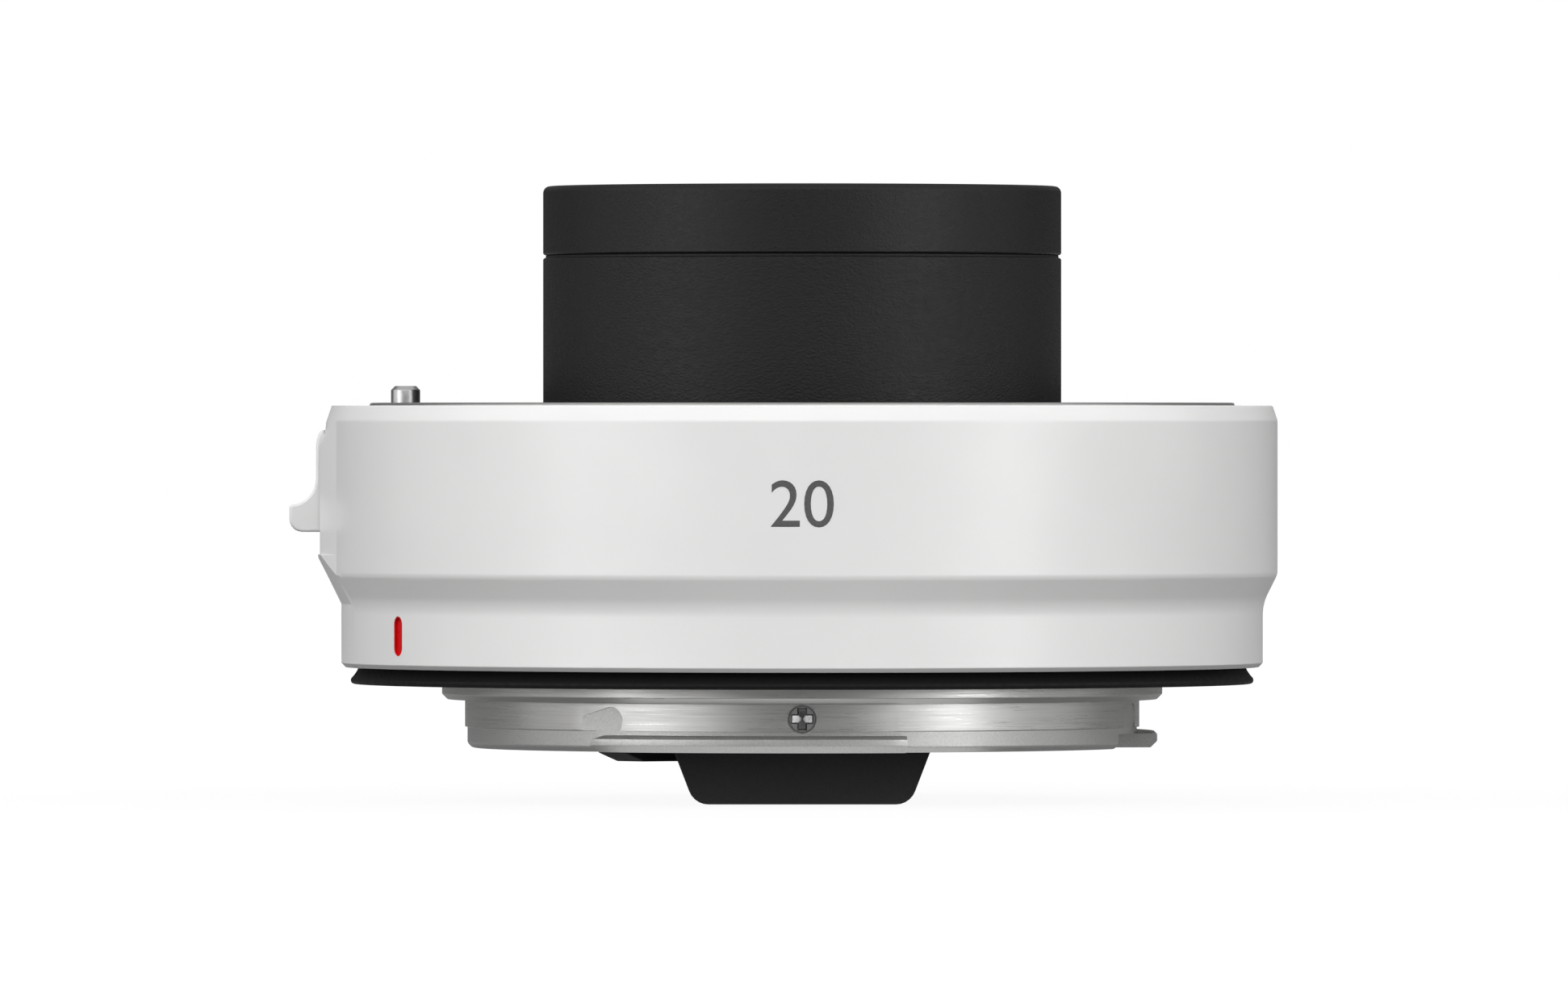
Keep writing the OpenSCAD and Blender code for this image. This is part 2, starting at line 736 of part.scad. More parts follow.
// Rear baffle: a wall that takes the radial screws, a plate with the light window, and two tabs
module rear_baffle() {
    contact_gap = rear_ear + contact_gap_end;
    color([0.12, 0.12, 0.12]) difference() {
        union() {
            ring(baffle_r, baffle_r - baffle_wall, baffle_z, baffle_top);
            translate([0, 0, baffle_z]) cylinder(h = baffle_plate_t, r = baffle_r);
            for (side = [0, 180]) rotate([0, 0, side]) baffle_tab();
        }
        translate([-window_w / 2, -window_h / 2, baffle_z - cut])
            cube([window_w, window_h, baffle_plate_t + 2 * cut]);
        sector(barrel_r, tube_r, baffle_z - cut, baffle_top + cut,
            rear_block_start - contact_gap, rear_block_stop + contact_gap);
        around(baffle_screw_angles, 0) translate([0, 0, baffle_screw_z]) rotate([0, 90, 0])
            cylinder(h = tube_r, r = small_shank_r + fit);
    }
}

// Tab with sloped sides and round corners, on the -Y side
module baffle_tab() {
    root_z = baffle_z + baffle_plate_t / 2;
    end_half = tab_end_w / 2;
    root_half = tab_root_w / 2;
    slope = atan2(root_half - end_half, tab_depth + root_z);
    corner = end_half - tab_round * (1 - sin(slope)) / cos(slope);
    translate([0, tab_t - tab_out, 0]) rotate([90, 0, 0]) linear_extrude(tab_t) polygon(concat(
        [[-root_half, root_z]],
        arc([-corner, tab_round - tab_depth], tab_round, 180 + slope, 270, 5),
        arc([corner, tab_round - tab_depth], tab_round, 270, 360 - slope, 5),
        [[root_half, root_z]]
    ));
}

module baffle_screws() {
    seat = tube_r - counterbore_depth;
    color("silver") around(baffle_screw_angles, seat) translate([0, 0, baffle_screw_z]) rotate([0, 90, 0])
        round_screw(small_shank_r, small_head_r, small_head_h, baffle_screw_len);
}

// Contact blocks are parts of rings centred on the contact row
rear_screw_angles = [rear_block_start - rear_ear / 2, rear_block_stop + rear_ear / 2];
rear_flex_half = 9;
flex_slot_end = 1;
flex_dip = 1.2;
ear_cut = 5;
rear_flex_z = rear_plate_z - flex_dip;

// The end that meets the camera's pins first has a ramp
module rear_contact_block() {
    r_in = barrel_r + block_side_gap;
    r_out = tube_in_r - block_side_gap;
    ear_drop = rear_block_depth - rear_ear_depth;
    color([0.1, 0.1, 0.1]) difference() {
        sector(r_in, r_out, -rear_block_depth, rear_plate_z, rear_block_start - rear_ear, rear_block_stop + rear_ear);
        rotate([0, 0, rear_block_start]) translate([r_in - cut, -ear_cut, -rear_ear_depth - ear_drop - cut])
            cube([r_out - r_in + 2 * cut, ear_cut, ear_drop + cut]);
        rotate([0, 0, rear_block_stop]) {
            translate([r_in - cut, 0, -rear_ear_depth - ear_drop - cut])
                cube([r_out - r_in + 2 * cut, ear_cut, ear_drop + cut]);
            translate([0, -ramp_len, -rear_block_depth]) rotate([ramp_angle, 0, 0])
                translate([r_in - cut, -ramp_len, -2 * ramp_len])
                    cube([r_out - r_in + 2 * cut, 3 * ramp_len, 2 * ramp_len]);
        }
        around(pin_angles, contact_r) pad_shape(pad_w + 2 * cement_t, pad_l + 2 * cement_t, cut);
        around(rear_screw_angles, contact_r) {
            translate([0, 0, -rear_ear_depth - cut]) cylinder(h = cut + small_head_h + fit, r = small_head_r + fit);
            translate([0, 0, -rear_ear_depth]) cylinder(h = rear_ear_depth + rear_plate_top, r = small_shank_r + fit);
        }
        sector(contact_r - flex_t, contact_r + 2 * flex_t, rear_flex_z, rear_plate_z + cut,
            contact_angle - rear_flex_half - flex_slot_end, contact_angle + rear_flex_half + flex_slot_end);
    }
}

pin_angles = [for (i = [1 : contact_count]) pin_angle(i)];

// Flat contact pad, flush with the block's end face
module pad_shape(w, l, under) {
    translate([-l / 2, -w / 2, -rear_block_depth - under]) cube([l, w, pad_t + under]);
}

module contact_pads() {
    color("gold") around(pin_angles, contact_r) pad_shape(pad_w, pad_l, 0);
}

module rear_contact_screws() {
    length = rear_ear_depth + rear_plate_z + rear_plate_t / 2;
    color("silver") around(rear_screw_angles, contact_r)
        translate([0, 0, small_head_h - rear_ear_depth]) mirror([0, 0, 1])
            round_screw(small_shank_r, small_head_r, small_head_h, length);
}

module rear_flex() {
    color("darkorange") sector(contact_r, contact_r + flex_t, rear_flex_z, board_z,
        contact_angle - rear_flex_half, contact_angle + rear_flex_half);
}

module circuit_board() {
    color("darkgreen") difference() {
        ring(board_out_r, board_in_r, board_z, board_top);
        around(board_screw_angles, board_mid_r)
            translate([0, 0, board_z - cut]) cylinder(h = board_t + 2 * cut, r = small_shank_r + fit);
    }
}

module board_screws() {
    color("silver") around(board_screw_angles, board_mid_r) translate([0, 0, board_top])
        round_screw(small_shank_r, small_head_r, small_head_h, board_t + board_gap);
}

// Chips as [angle, width along the radius, length round the board, height]
chips = [[250, 4, 4, 0.9], [232, 3, 3, 0.7], [320, 3, 4, 0.8], [345, 2, 1.2, 0.6], [5, 2, 1.2, 0.6], [165, 3, 2, 0.7]];

module board_chips() {
    color([0.15, 0.15, 0.17]) for (chip = chips)
        rotate([0, 0, chip[0]]) translate([board_mid_r - chip[1] / 2, -chip[2] / 2, board_top])
            cube([chip[1], chip[2], chip[3]]);
}

// Flexible circuit under the contact pins, with a tail down to the board
front_flex_half = 6;
flex_end_gap = 1.5;

module front_flex() {
    half = contact_half + block_end - flex_end_gap;
    tail_r = pin_block_out_r + flex_lip;
    color("darkorange") union() {
        sector(pin_block_in_r + fit, pin_block_out_r, pin_block_under - flex_t, pin_block_under,
            contact_angle - half, contact_angle + half);
        sector(pin_block_out_r - cut, tail_r, pin_block_under - flex_t, pin_block_under,
            contact_angle - front_flex_half, contact_angle + front_flex_half);
        sector(tail_r - flex_t, tail_r, board_top, pin_block_under,
            contact_angle - front_flex_half, contact_angle + front_flex_half);
    }
}

// Block of the contact pins: the row stands up through the floor of the well, the ears hang below it
pin_block_in_r = rear_cell_r + move_gap;
pin_block_out_r = shelf_in_r - block_side_gap;
pin_row_half_w = contact_band / 2 - block_side_gap;
row_gap = 0.12;
row_end_gap = 1;
pin_screw_bite = 0.8;
pin_screw_hole = 0.85;
pin_screw_angles = [for (side = [-1, 1]) contact_angle + side * (contact_half + block_end + pin_ear / 2)];

// The row in plan, or the opening for it with a gap at the sides and in degrees at the ends
module pin_row(gap, end_gap, z0, z1) {
    half = contact_half + block_end + end_gap;
    sector(contact_r - pin_row_half_w - gap, contact_r + pin_row_half_w + gap, z0, z1,
        contact_angle - half, contact_angle + half);
}

module pin_block() {
    half = contact_half + block_end + pin_ear;
    color([0.1, 0.1, 0.1]) difference() {
        union() {
            pin_row(0, 0, pin_block_under, pin_block_z);
            sector(pin_block_in_r, pin_block_out_r, pin_block_under, floor_under,
                contact_angle - half, contact_angle + half);
        }
        around(pin_angles, contact_r) {
            translate([0, 0, pin_block_under - cut]) cylinder(h = pin_block_z, r = pin_r + run_fit);
            translate([0, 0, pin_block_under - cut])
                cylinder(h = pin_block_z - pin_roof_t - pin_block_under + cut, r = pin_bore_r);
        }
        around(pin_screw_angles, contact_r)
            translate([0, 0, pin_block_under - cut]) cylinder(h = pin_block_z, r = small_shank_r + fit);
    }
}

module pin_block_screws() {
    length = pin_block_drop + pin_screw_bite;
    color("silver") around(pin_screw_angles, contact_r) translate([0, 0, pin_block_under]) mirror([0, 0, 1])
        round_screw(small_shank_r, small_head_r, small_head_h, length);
}

// Spring-loaded pin with a domed tip and a collar that keeps it in its bore
module contact_pin(i) {
    tip = pin_block_z + pin_rise - pin_r;
    color("gold") around([pin_angle(i)], contact_r) {
        translate([0, 0, collar_under]) cylinder(h = tip - collar_under, r = pin_r);
        translate([0, 0, collar_under]) cylinder(h = pin_collar_h, r = pin_collar_r);
        translate([0, 0, tip]) sphere(pin_r);
    }
}

module contact_springs() {
    mean_r = 0.5;
    wire_r = 0.11;
    color("silver") around(pin_angles, contact_r)
        coil(mean_r, wire_r, pin_block_under + cement_t, collar_under - cement_t, 4, 8, 4);
}

// Lens side: female bayonet, its screws and flat spring
module lens_mount() {
    ease = 0.12;
    throat_ease = 0.3;
    color("lightgray") difference() {
        union() {
            rotate_extrude() polygon([
                [throat_r, lens_z - sleeve_h], [sleeve_r, lens_z - sleeve_h], [sleeve_r, plate_z],
                [ring_r, plate_z], [ring_r, lens_z - ease], [ring_r - ease, lens_z],
                [throat_r + throat_ease, lens_z], [throat_r, lens_z - throat_ease]
            ]);
            for (lug = female_lugs)
                sector(tube_r + lug_pass, throat_r + cut, lens_z - sleeve_h, lens_z - spigot_h - lug_play,
                    lug[0], lug[1]);
        }
        around(ring_screw_angles, mid_r) translate([0, 0, lens_z])
            flat_screw_hole(screw_shank_r, screw_head_r, screw_head_h, 2 * lens_plate_t);
        translate([-mid_r, 0, plate_z - cut]) cylinder(h = lens_plate_t + 2 * cut, r = lock_shank_r + run_fit);
    }
}

module lens_mount_screws() {
    color("silver") around(ring_screw_angles, mid_r) translate([0, 0, lens_z])
        flat_screw(screw_shank_r, screw_head_r, screw_head_h, lens_plate_t + thread_len - thread_gap);
}

// Flat spring ring with a finger under each lug, held between the ring's sleeve and the liner
liner_gap = 0.2;
liner_in_r = throat_r + liner_gap;

module lens_mount_spring() {
    finger_inset = 5;
    color("silver") union() {
        ring(sleeve_r, liner_in_r, leaf_z, leaf_z + leaf_t);
        for (lug = female_lugs)
            sector(tube_r + 2 * lug_pass, liner_in_r + cut, leaf_z, leaf_z + leaf_t,
                lug[0] + finger_inset, lug[1] - finger_inset);
    }
}

module well_liner() {
    color([0.13, 0.13, 0.13]) ring(sleeve_r, liner_in_r, floor_z, leaf_z);
}

// Front barrel: a tube with a flange that is the floor of the well, and a register under the front ring
barrel_screw_r = (shelf_in_r + liner_in_r) / 2;
barrel_screw_angles = [15, 165, 270];
barrel_edge = 0.12;
groove_depth = 0.2;

module front_barrel() {
    color([0.2, 0.2, 0.2]) difference() {
        rotate_extrude() polygon([
            [bore_r, floor_under], [sleeve_r, floor_under], [sleeve_r, floor_z], [barrel_r, floor_z],
            [barrel_r, barrel_top - barrel_edge], [barrel_r - barrel_edge, barrel_top],
            [barrel_r - groove_depth, barrel_top], [barrel_r - groove_depth, ring_under - cement_t],
            [bore_r, ring_under - cement_t]
        ]);
        pin_row(row_gap, row_end_gap, floor_under - cut, floor_z + cut);
        around(barrel_screw_angles, barrel_screw_r) translate([0, 0, floor_z])
            flat_screw_hole(small_shank_r, small_head_r, small_head_h, floor_t + cut);
        around(pin_screw_angles, contact_r)
            translate([0, 0, floor_under - cut]) cylinder(h = pin_screw_hole + cut, r = small_shank_r + fit);
    }
}

module barrel_screws() {
    color([0.15, 0.15, 0.15]) around(barrel_screw_angles, barrel_screw_r) translate([0, 0, floor_z])
        flat_screw(small_shank_r, small_head_r, small_head_h, floor_t + shelf_t);
}

// Front ring: a cap over the end of the front cell, with a rounded rim and a bevelled mouth
mouth_cover = 1.2;
mouth_r = group_1_r - mouth_cover;
mouth_bevel = 1.6;

module front_ring() {
    color([0.2, 0.2, 0.2]) rotate_extrude() polygon(concat(
        [[bore_r + fit, ring_under], [barrel_r - barrel_edge, ring_under], [barrel_r, ring_under + barrel_edge]],
        arc([barrel_r - front_round, front_z - front_round], front_round, 0, 90, 5),
        [[mouth_r + mouth_bevel, front_z], [mouth_r, cell_top], [bore_r + fit, cell_top]]
    ));
}

// Cells: bored tubes that seat the glass
module front_cell() {
    color([0.15, 0.15, 0.15]) rotate_extrude() polygon([
        [group_2_r - seat_w / 2, cell_z], [front_cell_r, cell_z], [front_cell_r, cell_top],
        [group_1_r + fit, cell_top], [group_1_r + fit, seat_1], [group_1_r - seat_w, seat_1],
        [group_2_r + fit, group_2_top + retainer_h], [group_2_r + fit, seat_2],
        [group_2_r - seat_w / 2, seat_2]
    ]);
}

module rear_cell() {
    color([0.15, 0.15, 0.15]) rotate_extrude() polygon([
        [element_7_r + fit, rear_cell_z], [rear_cell_r, rear_cell_z], [rear_cell_r, floor_under],
        [front_cell_r + fit, floor_under], [front_cell_r + fit, cell_z], [element_6_r + fit, cell_z],
        [element_6_r + fit, seat_6], [seat_6_r, seat_6], [seat_7_r, seat_7], [element_7_r + fit, seat_7]
    ]);
}

// Retaining rings bear on the glass with their inner corner
front_retainer_w = 0.95;
middle_retainer_w = 0.8;
rear_retainer_w = 1.4;
rear_retainer_inset = 0.4;

module front_retainer() {
    bear_r = group_1_r - front_retainer_w;
    color([0.12, 0.12, 0.12]) ring(group_1_r, bear_r, front_1 - sag(curve_1, bear_r) + cement_t, cell_top);
}

module middle_retainer() {
    color([0.12, 0.12, 0.12]) ring(group_2_r, group_2_r - middle_retainer_w, group_2_top, group_2_top + retainer_h);
}

module cell_spacer() {
    color([0.12, 0.12, 0.12]) ring(element_6_r, seat_6_r, rim_6, cell_z);
}

module rear_retainer() {
    bear_r = element_7_r - rear_retainer_w;
    top = rear_7 + sag(curve_7_rear, bear_r) - cement_t;
    color([0.12, 0.12, 0.12]) ring(element_7_r, bear_r, rear_cell_z + rear_retainer_inset, top);
}

// Glass: a cemented pair, a cemented three, and two single elements
module lens_element(i) {
    if (i == 1) element(group_1_r, front_1, curve_1, rear_1, curve_12);
    if (i == 2) element(group_1_r, front_2, -curve_12, rear_2, -curve_2);
    if (i == 3) element(group_2_r, front_3, -curve_3, rear_3, -curve_34);
    if (i == 4) element(group_2_r, front_4, curve_34, rear_4, curve_45);
    if (i == 5) element(group_2_r, front_5, -curve_45, rear_5, -curve_5);
    if (i == 6) element(element_6_r, front_6, -curve_6, rear_6, curve_6_rear);
    if (i == 7) element(element_7_r, front_7, curve_7, rear_7, curve_7_rear);
}

// Release lever: a plate that slides in the pad's channel, with a hooked lower end and a neck inwards
module release_lever() {
    inner = recess_floor + lever_float;
    hook = lever_face + hook_reach;
    hook_top = lever_bottom + hook_face_h;
    round_x = hook - hook_round;
    color("white") union() {
        translate([0, lever_w / 2, 0]) rotate([90, 0, 0]) linear_extrude(lever_w) polygon(concat(
            [[-inner, lever_bottom], [-inner, lever_top]],
            [for (p = arc([0, 0], 1, 90, 180, 6))
                [lever_top_round * (1 + p[0]) - lever_face, lever_top + lever_top_slope * (p[1] - 1)]],
            arc([-hook, hook_top + hook_reach], hook_reach, 0, -90, 8),
            arc([-round_x, lever_bottom + hook_round], hook_round, 180, 270, 5)
        ));
        difference() {
            translate([-inner - lever_proud / 2, -neck_w / 2, neck_top - neck_h])
                cube([inner + lever_proud / 2 - carriage_x, neck_w, neck_h]);
            lever_screw_places(small_shank_r + fit);
        }
    }
}

// The two screws run outwards through the carriage into the lever's neck
lever_screw_y = 1.3;
lever_screw_len = 2.9;
lever_screw_depth = 2.0;

module lever_screw_places(r) {
    for (side = [-1, 1]) translate([-carriage_x - lever_screw_depth, side * lever_screw_y, neck_top - neck_h / 2])
        rotate([0, 90, 0]) cylinder(h = carriage_t + lever_screw_depth + cut, r = r);
}

module lever_screws() {
    color("silver") for (side = [-1, 1])
        translate([carriage_t - carriage_x, side * lever_screw_y, neck_top - neck_h / 2]) rotate([0, 90, 0])
            round_screw(small_shank_r, small_head_r, small_head_h, lever_screw_len);
}

// Carriage: an upright behind the shell and an arm inwards to the lock pin
module lever_carriage() {
    arm_end = mid_r - lock_shank_r;
    color("gray") difference() {
        union() {
            translate([-carriage_x, -carriage_w / 2, carriage_bottom])
                cube([carriage_t, carriage_w, carriage_top - carriage_bottom]);
            translate([-carriage_x, -carriage_w / 2, carriage_bottom])
                cube([carriage_x - arm_end, carriage_w, arm_h]);
        }
        lever_screw_places(small_shank_r + fit);
        translate([-mid_r, 0, carriage_bottom - cut]) cylinder(h = arm_h + 2 * cut, r = lock_tail_r + cement_t);
    }
}

// Lock pin: a tail in the spring, a shank that is guided, and a nose that stands out of the flange
module lock_pin() {
    tip_ease = 0.3;
    r = lock_pin_d / 2;
    tip = lens_z + lock_pin_rise;
    color("silver") translate([-mid_r, 0, 0]) rotate_extrude() polygon([
        [0, lock_tail_z], [lock_tail_r, lock_tail_z], [lock_tail_r, arm_top], [lock_shank_r, arm_top],
        [lock_shank_r, lens_z], [r, lens_z], [r, tip - tip_ease], [r - tip_ease, tip], [0, tip]
    ]);
}

module lock_spring() {
    color("silver") translate([-mid_r, 0, 0])
        coil(lock_coil_r, lock_wire_r, rear_plate_top + cement_t, carriage_bottom - cement_t, 6, 12, 6);
}

body_shell();
camera_index();
lens_index();
chassis();
rear_plate();
mount_shim();
camera_mount();
camera_mount_screws();
mount_seal();
rear_baffle();
baffle_screws();
rear_contact_block();
contact_pads();
rear_contact_screws();
rear_flex();
circuit_board();
board_screws();
board_chips();
front_flex();
pin_block();
pin_block_screws();
contact_springs();
lens_mount();
lens_mount_screws();
lens_mount_spring();
well_liner();
front_barrel();
barrel_screws();
front_ring();
front_cell();
rear_cell();
front_retainer();
middle_retainer();
cell_spacer();
rear_retainer();
release_lever();
lever_screws();
lever_carriage();
lock_pin();
lock_spring();
for (i = [1 : 7]) lens_element(i);
for (i = [1 : contact_count]) contact_pin(i);
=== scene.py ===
import json
import math

import bmesh
import bpy
from mathutils import Matrix, Vector


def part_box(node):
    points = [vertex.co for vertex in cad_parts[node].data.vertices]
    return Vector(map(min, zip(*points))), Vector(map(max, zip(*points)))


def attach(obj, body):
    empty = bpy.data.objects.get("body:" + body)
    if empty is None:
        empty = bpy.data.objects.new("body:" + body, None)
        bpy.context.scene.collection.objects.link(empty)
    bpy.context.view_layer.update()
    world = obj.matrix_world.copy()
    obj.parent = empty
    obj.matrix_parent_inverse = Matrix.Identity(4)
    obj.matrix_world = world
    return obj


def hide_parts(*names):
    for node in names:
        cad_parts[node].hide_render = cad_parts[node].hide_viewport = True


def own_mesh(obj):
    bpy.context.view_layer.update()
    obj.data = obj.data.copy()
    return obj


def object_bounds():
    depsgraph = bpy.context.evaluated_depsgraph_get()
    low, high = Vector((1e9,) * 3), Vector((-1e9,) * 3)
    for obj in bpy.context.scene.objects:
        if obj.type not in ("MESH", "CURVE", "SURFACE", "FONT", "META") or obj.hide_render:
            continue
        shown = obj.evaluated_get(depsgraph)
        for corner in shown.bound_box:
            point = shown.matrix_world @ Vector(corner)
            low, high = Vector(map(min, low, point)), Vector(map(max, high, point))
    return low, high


# Camera teleconverter: camera, studio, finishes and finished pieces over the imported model.
# Metres, in the model's own frame: +Z is the optical axis towards the lens.
MM = 0.001

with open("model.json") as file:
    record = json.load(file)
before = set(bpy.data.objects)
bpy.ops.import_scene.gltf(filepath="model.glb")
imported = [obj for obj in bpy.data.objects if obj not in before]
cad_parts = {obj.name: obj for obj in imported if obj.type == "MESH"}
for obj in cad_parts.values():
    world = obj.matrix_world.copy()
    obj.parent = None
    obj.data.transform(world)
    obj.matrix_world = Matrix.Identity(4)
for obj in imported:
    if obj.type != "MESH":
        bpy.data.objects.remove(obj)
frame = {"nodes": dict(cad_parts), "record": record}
cad_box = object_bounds()
nodes = frame["nodes"]


# Camera, at the height and distance that the photograph's curves give
CAMERA_AT = Vector((0, -1416, 19.1)) * MM
CAMERA_AIM = Vector((-1.36, 0, 13.5)) * MM
FOCAL_MM = 434.1
SENSOR_MM = 36
CLIP_NEAR = 0.1
CLIP_FAR = 20


def set_camera():
    camera = bpy.data.objects.new("camera", bpy.data.cameras.new("camera"))
    bpy.context.scene.collection.objects.link(camera)
    camera.data.sensor_width = SENSOR_MM
    camera.data.lens = FOCAL_MM
    camera.data.clip_start = CLIP_NEAR
    camera.data.clip_end = CLIP_FAR
    camera.location = CAMERA_AT
    camera.rotation_euler = (CAMERA_AIM - CAMERA_AT).to_track_quat("-Z", "Y").to_euler()
    bpy.context.scene.camera = camera


# Studio: a white floor and surround, soft boxes that gloss does not show, and grey cards that only gloss shows
FLOOR_Z = cad_box[0].z
FLOOR_HALF = 4
FLOOR_GREY = 0.05
SHADOW_SHARE = 0.94
SHADOW_NEAR = 0.05
SHADOW_FAR = 0.3
LAMP_DISTANCE = 1.0
CARD_STEPS = 48


def link(name, mesh):
    made = bpy.data.objects.new(name, mesh)
    bpy.context.scene.collection.objects.link(made)
    return made


def to_mesh(name, shape):
    mesh = bpy.data.meshes.new(name)
    shape.to_mesh(mesh)
    shape.free()
    return mesh


def soft_box(name, azimuth, elevation, width, height, level):
    """A lamp that faces the object, from degrees right of the camera and above the horizon."""
    turn, lift = math.radians(azimuth), math.radians(elevation)
    way = Vector((math.sin(turn) * math.cos(lift), -math.cos(turn) * math.cos(lift), math.sin(lift)))
    lamp = bpy.data.lights.new(name, "AREA")
    lamp.shape = "RECTANGLE"
    lamp.size = width
    lamp.size_y = height
    lamp.energy = level * math.pi ** 2 * LAMP_DISTANCE ** 2
    box = link(name, lamp)
    box.visible_glossy = False
    box.location = way * LAMP_DISTANCE
    box.rotation_euler = (-way).to_track_quat("-Z", "Y").to_euler()


def grey_card(name, shape, level):
    """A card that only gloss shows, as a photographer's flag does."""
    card = link(name, to_mesh(name, shape))
    card.visible_camera = False
    card.visible_diffuse = False
    card.visible_transmission = False
    card.visible_shadow = False
    paper = bpy.data.materials.new(name)
    paper.use_nodes = True
    tree = paper.node_tree
    tree.nodes.clear()
    glow = tree.nodes.new("ShaderNodeEmission")
    glow.inputs["Strength"].default_value = level
    out = tree.nodes.new("ShaderNodeOutputMaterial")
    tree.links.new(glow.outputs[0], out.inputs["Surface"])
    card.data.materials.append(paper)


def bent_card(name, near, far, start, end, level):
    """A card swept round the set, from a near to a far radius and height, in degrees right of the camera."""
    shape = bmesh.new()
    ends = [shape.verts.new((0, -radius, height)) for radius, height in (near, far)]
    side = shape.edges.new(ends)
    bmesh.ops.rotate(shape, verts=ends, cent=(0, 0, 0), matrix=Matrix.Rotation(math.radians(start), 3, "Z"))
    bmesh.ops.spin(shape, geom=ends + [side], cent=(0, 0, 0), axis=(0, 0, 1),
                   angle=math.radians(end - start), steps=CARD_STEPS)
    grey_card(name, shape, level)


def shown_white(tree):
    """1 for rays that see the background itself: from the camera, off gloss or through glass."""
    path = tree.nodes.new("ShaderNodeLightPath")
    seen = path.outputs["Is Camera Ray"]
    for kind in ("Is Glossy Ray", "Is Transmission Ray"):
        either = tree.nodes.new("ShaderNodeMath")
        either.operation = "MAXIMUM"
        tree.links.new(seen, either.inputs[0])
        tree.links.new(path.outputs[kind], either.inputs[1])
        seen = either.outputs[0]
    return seen


def set_surround(ambient):
    world = bpy.data.worlds.new("white_surround")
    bpy.context.scene.world = world
    world.use_nodes = True
    tree = world.node_tree
    background = tree.nodes["Background"]
    background.inputs["Color"].default_value = (1, 1, 1, 1)
    level = tree.nodes.new("ShaderNodeMapRange")
    level.inputs["To Min"].default_value = ambient
    level.inputs["To Max"].default_value = 1
    tree.links.new(shown_white(tree), level.inputs["Value"])
    tree.links.new(level.outputs["Result"], background.inputs["Strength"])


def set_floor():
    """White paper that keeps the object's shadow and can be seen through from below."""
    shape = bmesh.new()
    bmesh.ops.create_grid(shape, x_segments=1, y_segments=1, size=FLOOR_HALF)
    bmesh.ops.translate(shape, verts=shape.verts, vec=(0, 0, FLOOR_Z))
    floor = link("floor", to_mesh("floor", shape))

    paper = bpy.data.materials.new("white_paper")
    paper.use_nodes = True
    tree = paper.node_tree
    tree.nodes.clear()
    lit = tree.nodes.new("ShaderNodeBsdfDiffuse")
    lit.inputs["Color"].default_value = (FLOOR_GREY, FLOOR_GREY, FLOOR_GREY, 1)
    coords = tree.nodes.new("ShaderNodeTexCoord")
    away = tree.nodes.new("ShaderNodeVectorMath")
    away.operation = "LENGTH"
    tree.links.new(coords.outputs["Object"], away.inputs[0])
    share = tree.nodes.new("ShaderNodeMapRange")
    share.inputs["From Min"].default_value = SHADOW_NEAR
    share.inputs["From Max"].default_value = SHADOW_FAR
    share.inputs["To Min"].default_value = SHADOW_SHARE
    share.inputs["To Max"].default_value = 1
    tree.links.new(away.outputs["Value"], share.inputs["Value"])
    level = tree.nodes.new("ShaderNodeMath")
    level.operation = "MULTIPLY"
    tree.links.new(shown_white(tree), level.inputs[0])
    tree.links.new(share.outputs["Result"], level.inputs[1])
    glow = tree.nodes.new("ShaderNodeEmission")
    tree.links.new(level.outputs[0], glow.inputs["Strength"])
    both = tree.nodes.new("ShaderNodeAddShader")
    tree.links.new(lit.outputs[0], both.inputs[0])
    tree.links.new(glow.outputs[0], both.inputs[1])
    side = tree.nodes.new("ShaderNodeNewGeometry")
    open_below = tree.nodes.new("ShaderNodeMixShader")
    tree.links.new(side.outputs["Backfacing"], open_below.inputs["Fac"])
    tree.links.new(both.outputs[0], open_below.inputs[1])
    tree.links.new(tree.nodes.new("ShaderNodeBsdfTransparent").outputs[0], open_below.inputs[2])
    out = tree.nodes.new("ShaderNodeOutputMaterial")
    tree.links.new(open_below.outputs[0], out.inputs["Surface"])
    floor.data.materials.append(paper)


# Edges of the cards: distance from the optical axis and height
CARD_FOOT = (1.1, FLOOR_Z)
CARD_WAIST = (1.1, 0.16)
CARD_TOP = (1.1, 1.2)
BROW_FOOT = (0.95, 0.2)
TOP_CARD_FOOT = (0.95, 0.36)
TOP_CARD_TOP = (0.7, 0.72)
STRIP_FOOT = (0.95, FLOOR_Z)
STRIP_TOP = (0.95, 0.2)
ROOF_MIDDLE = (0.001, 1.2)
FLAG_EDGE = (0.0005, FLOOR_Z + 0.1 * MM)
FLAG_STEP = (0.032, FLOOR_Z + 0.1 * MM)
# Degrees right of the camera and above the horizon, width, height and level
LAMPS = (
    ("top_box", 0, 33, 2.0, 0.5, 0.94),
    ("left_fill", -88, 38, 0.6, 0.6, 0.42),
    ("right_fill", 88, 38, 0.6, 0.6, 0.32),
    ("left_low_fill", -40, 6, 0.4, 0.2, 0.13),
    ("right_low_fill", 40, 6, 0.4, 0.2, 0.15),
    ("back_fill", 180, 38, 0.8, 0.6, 0.4),
)
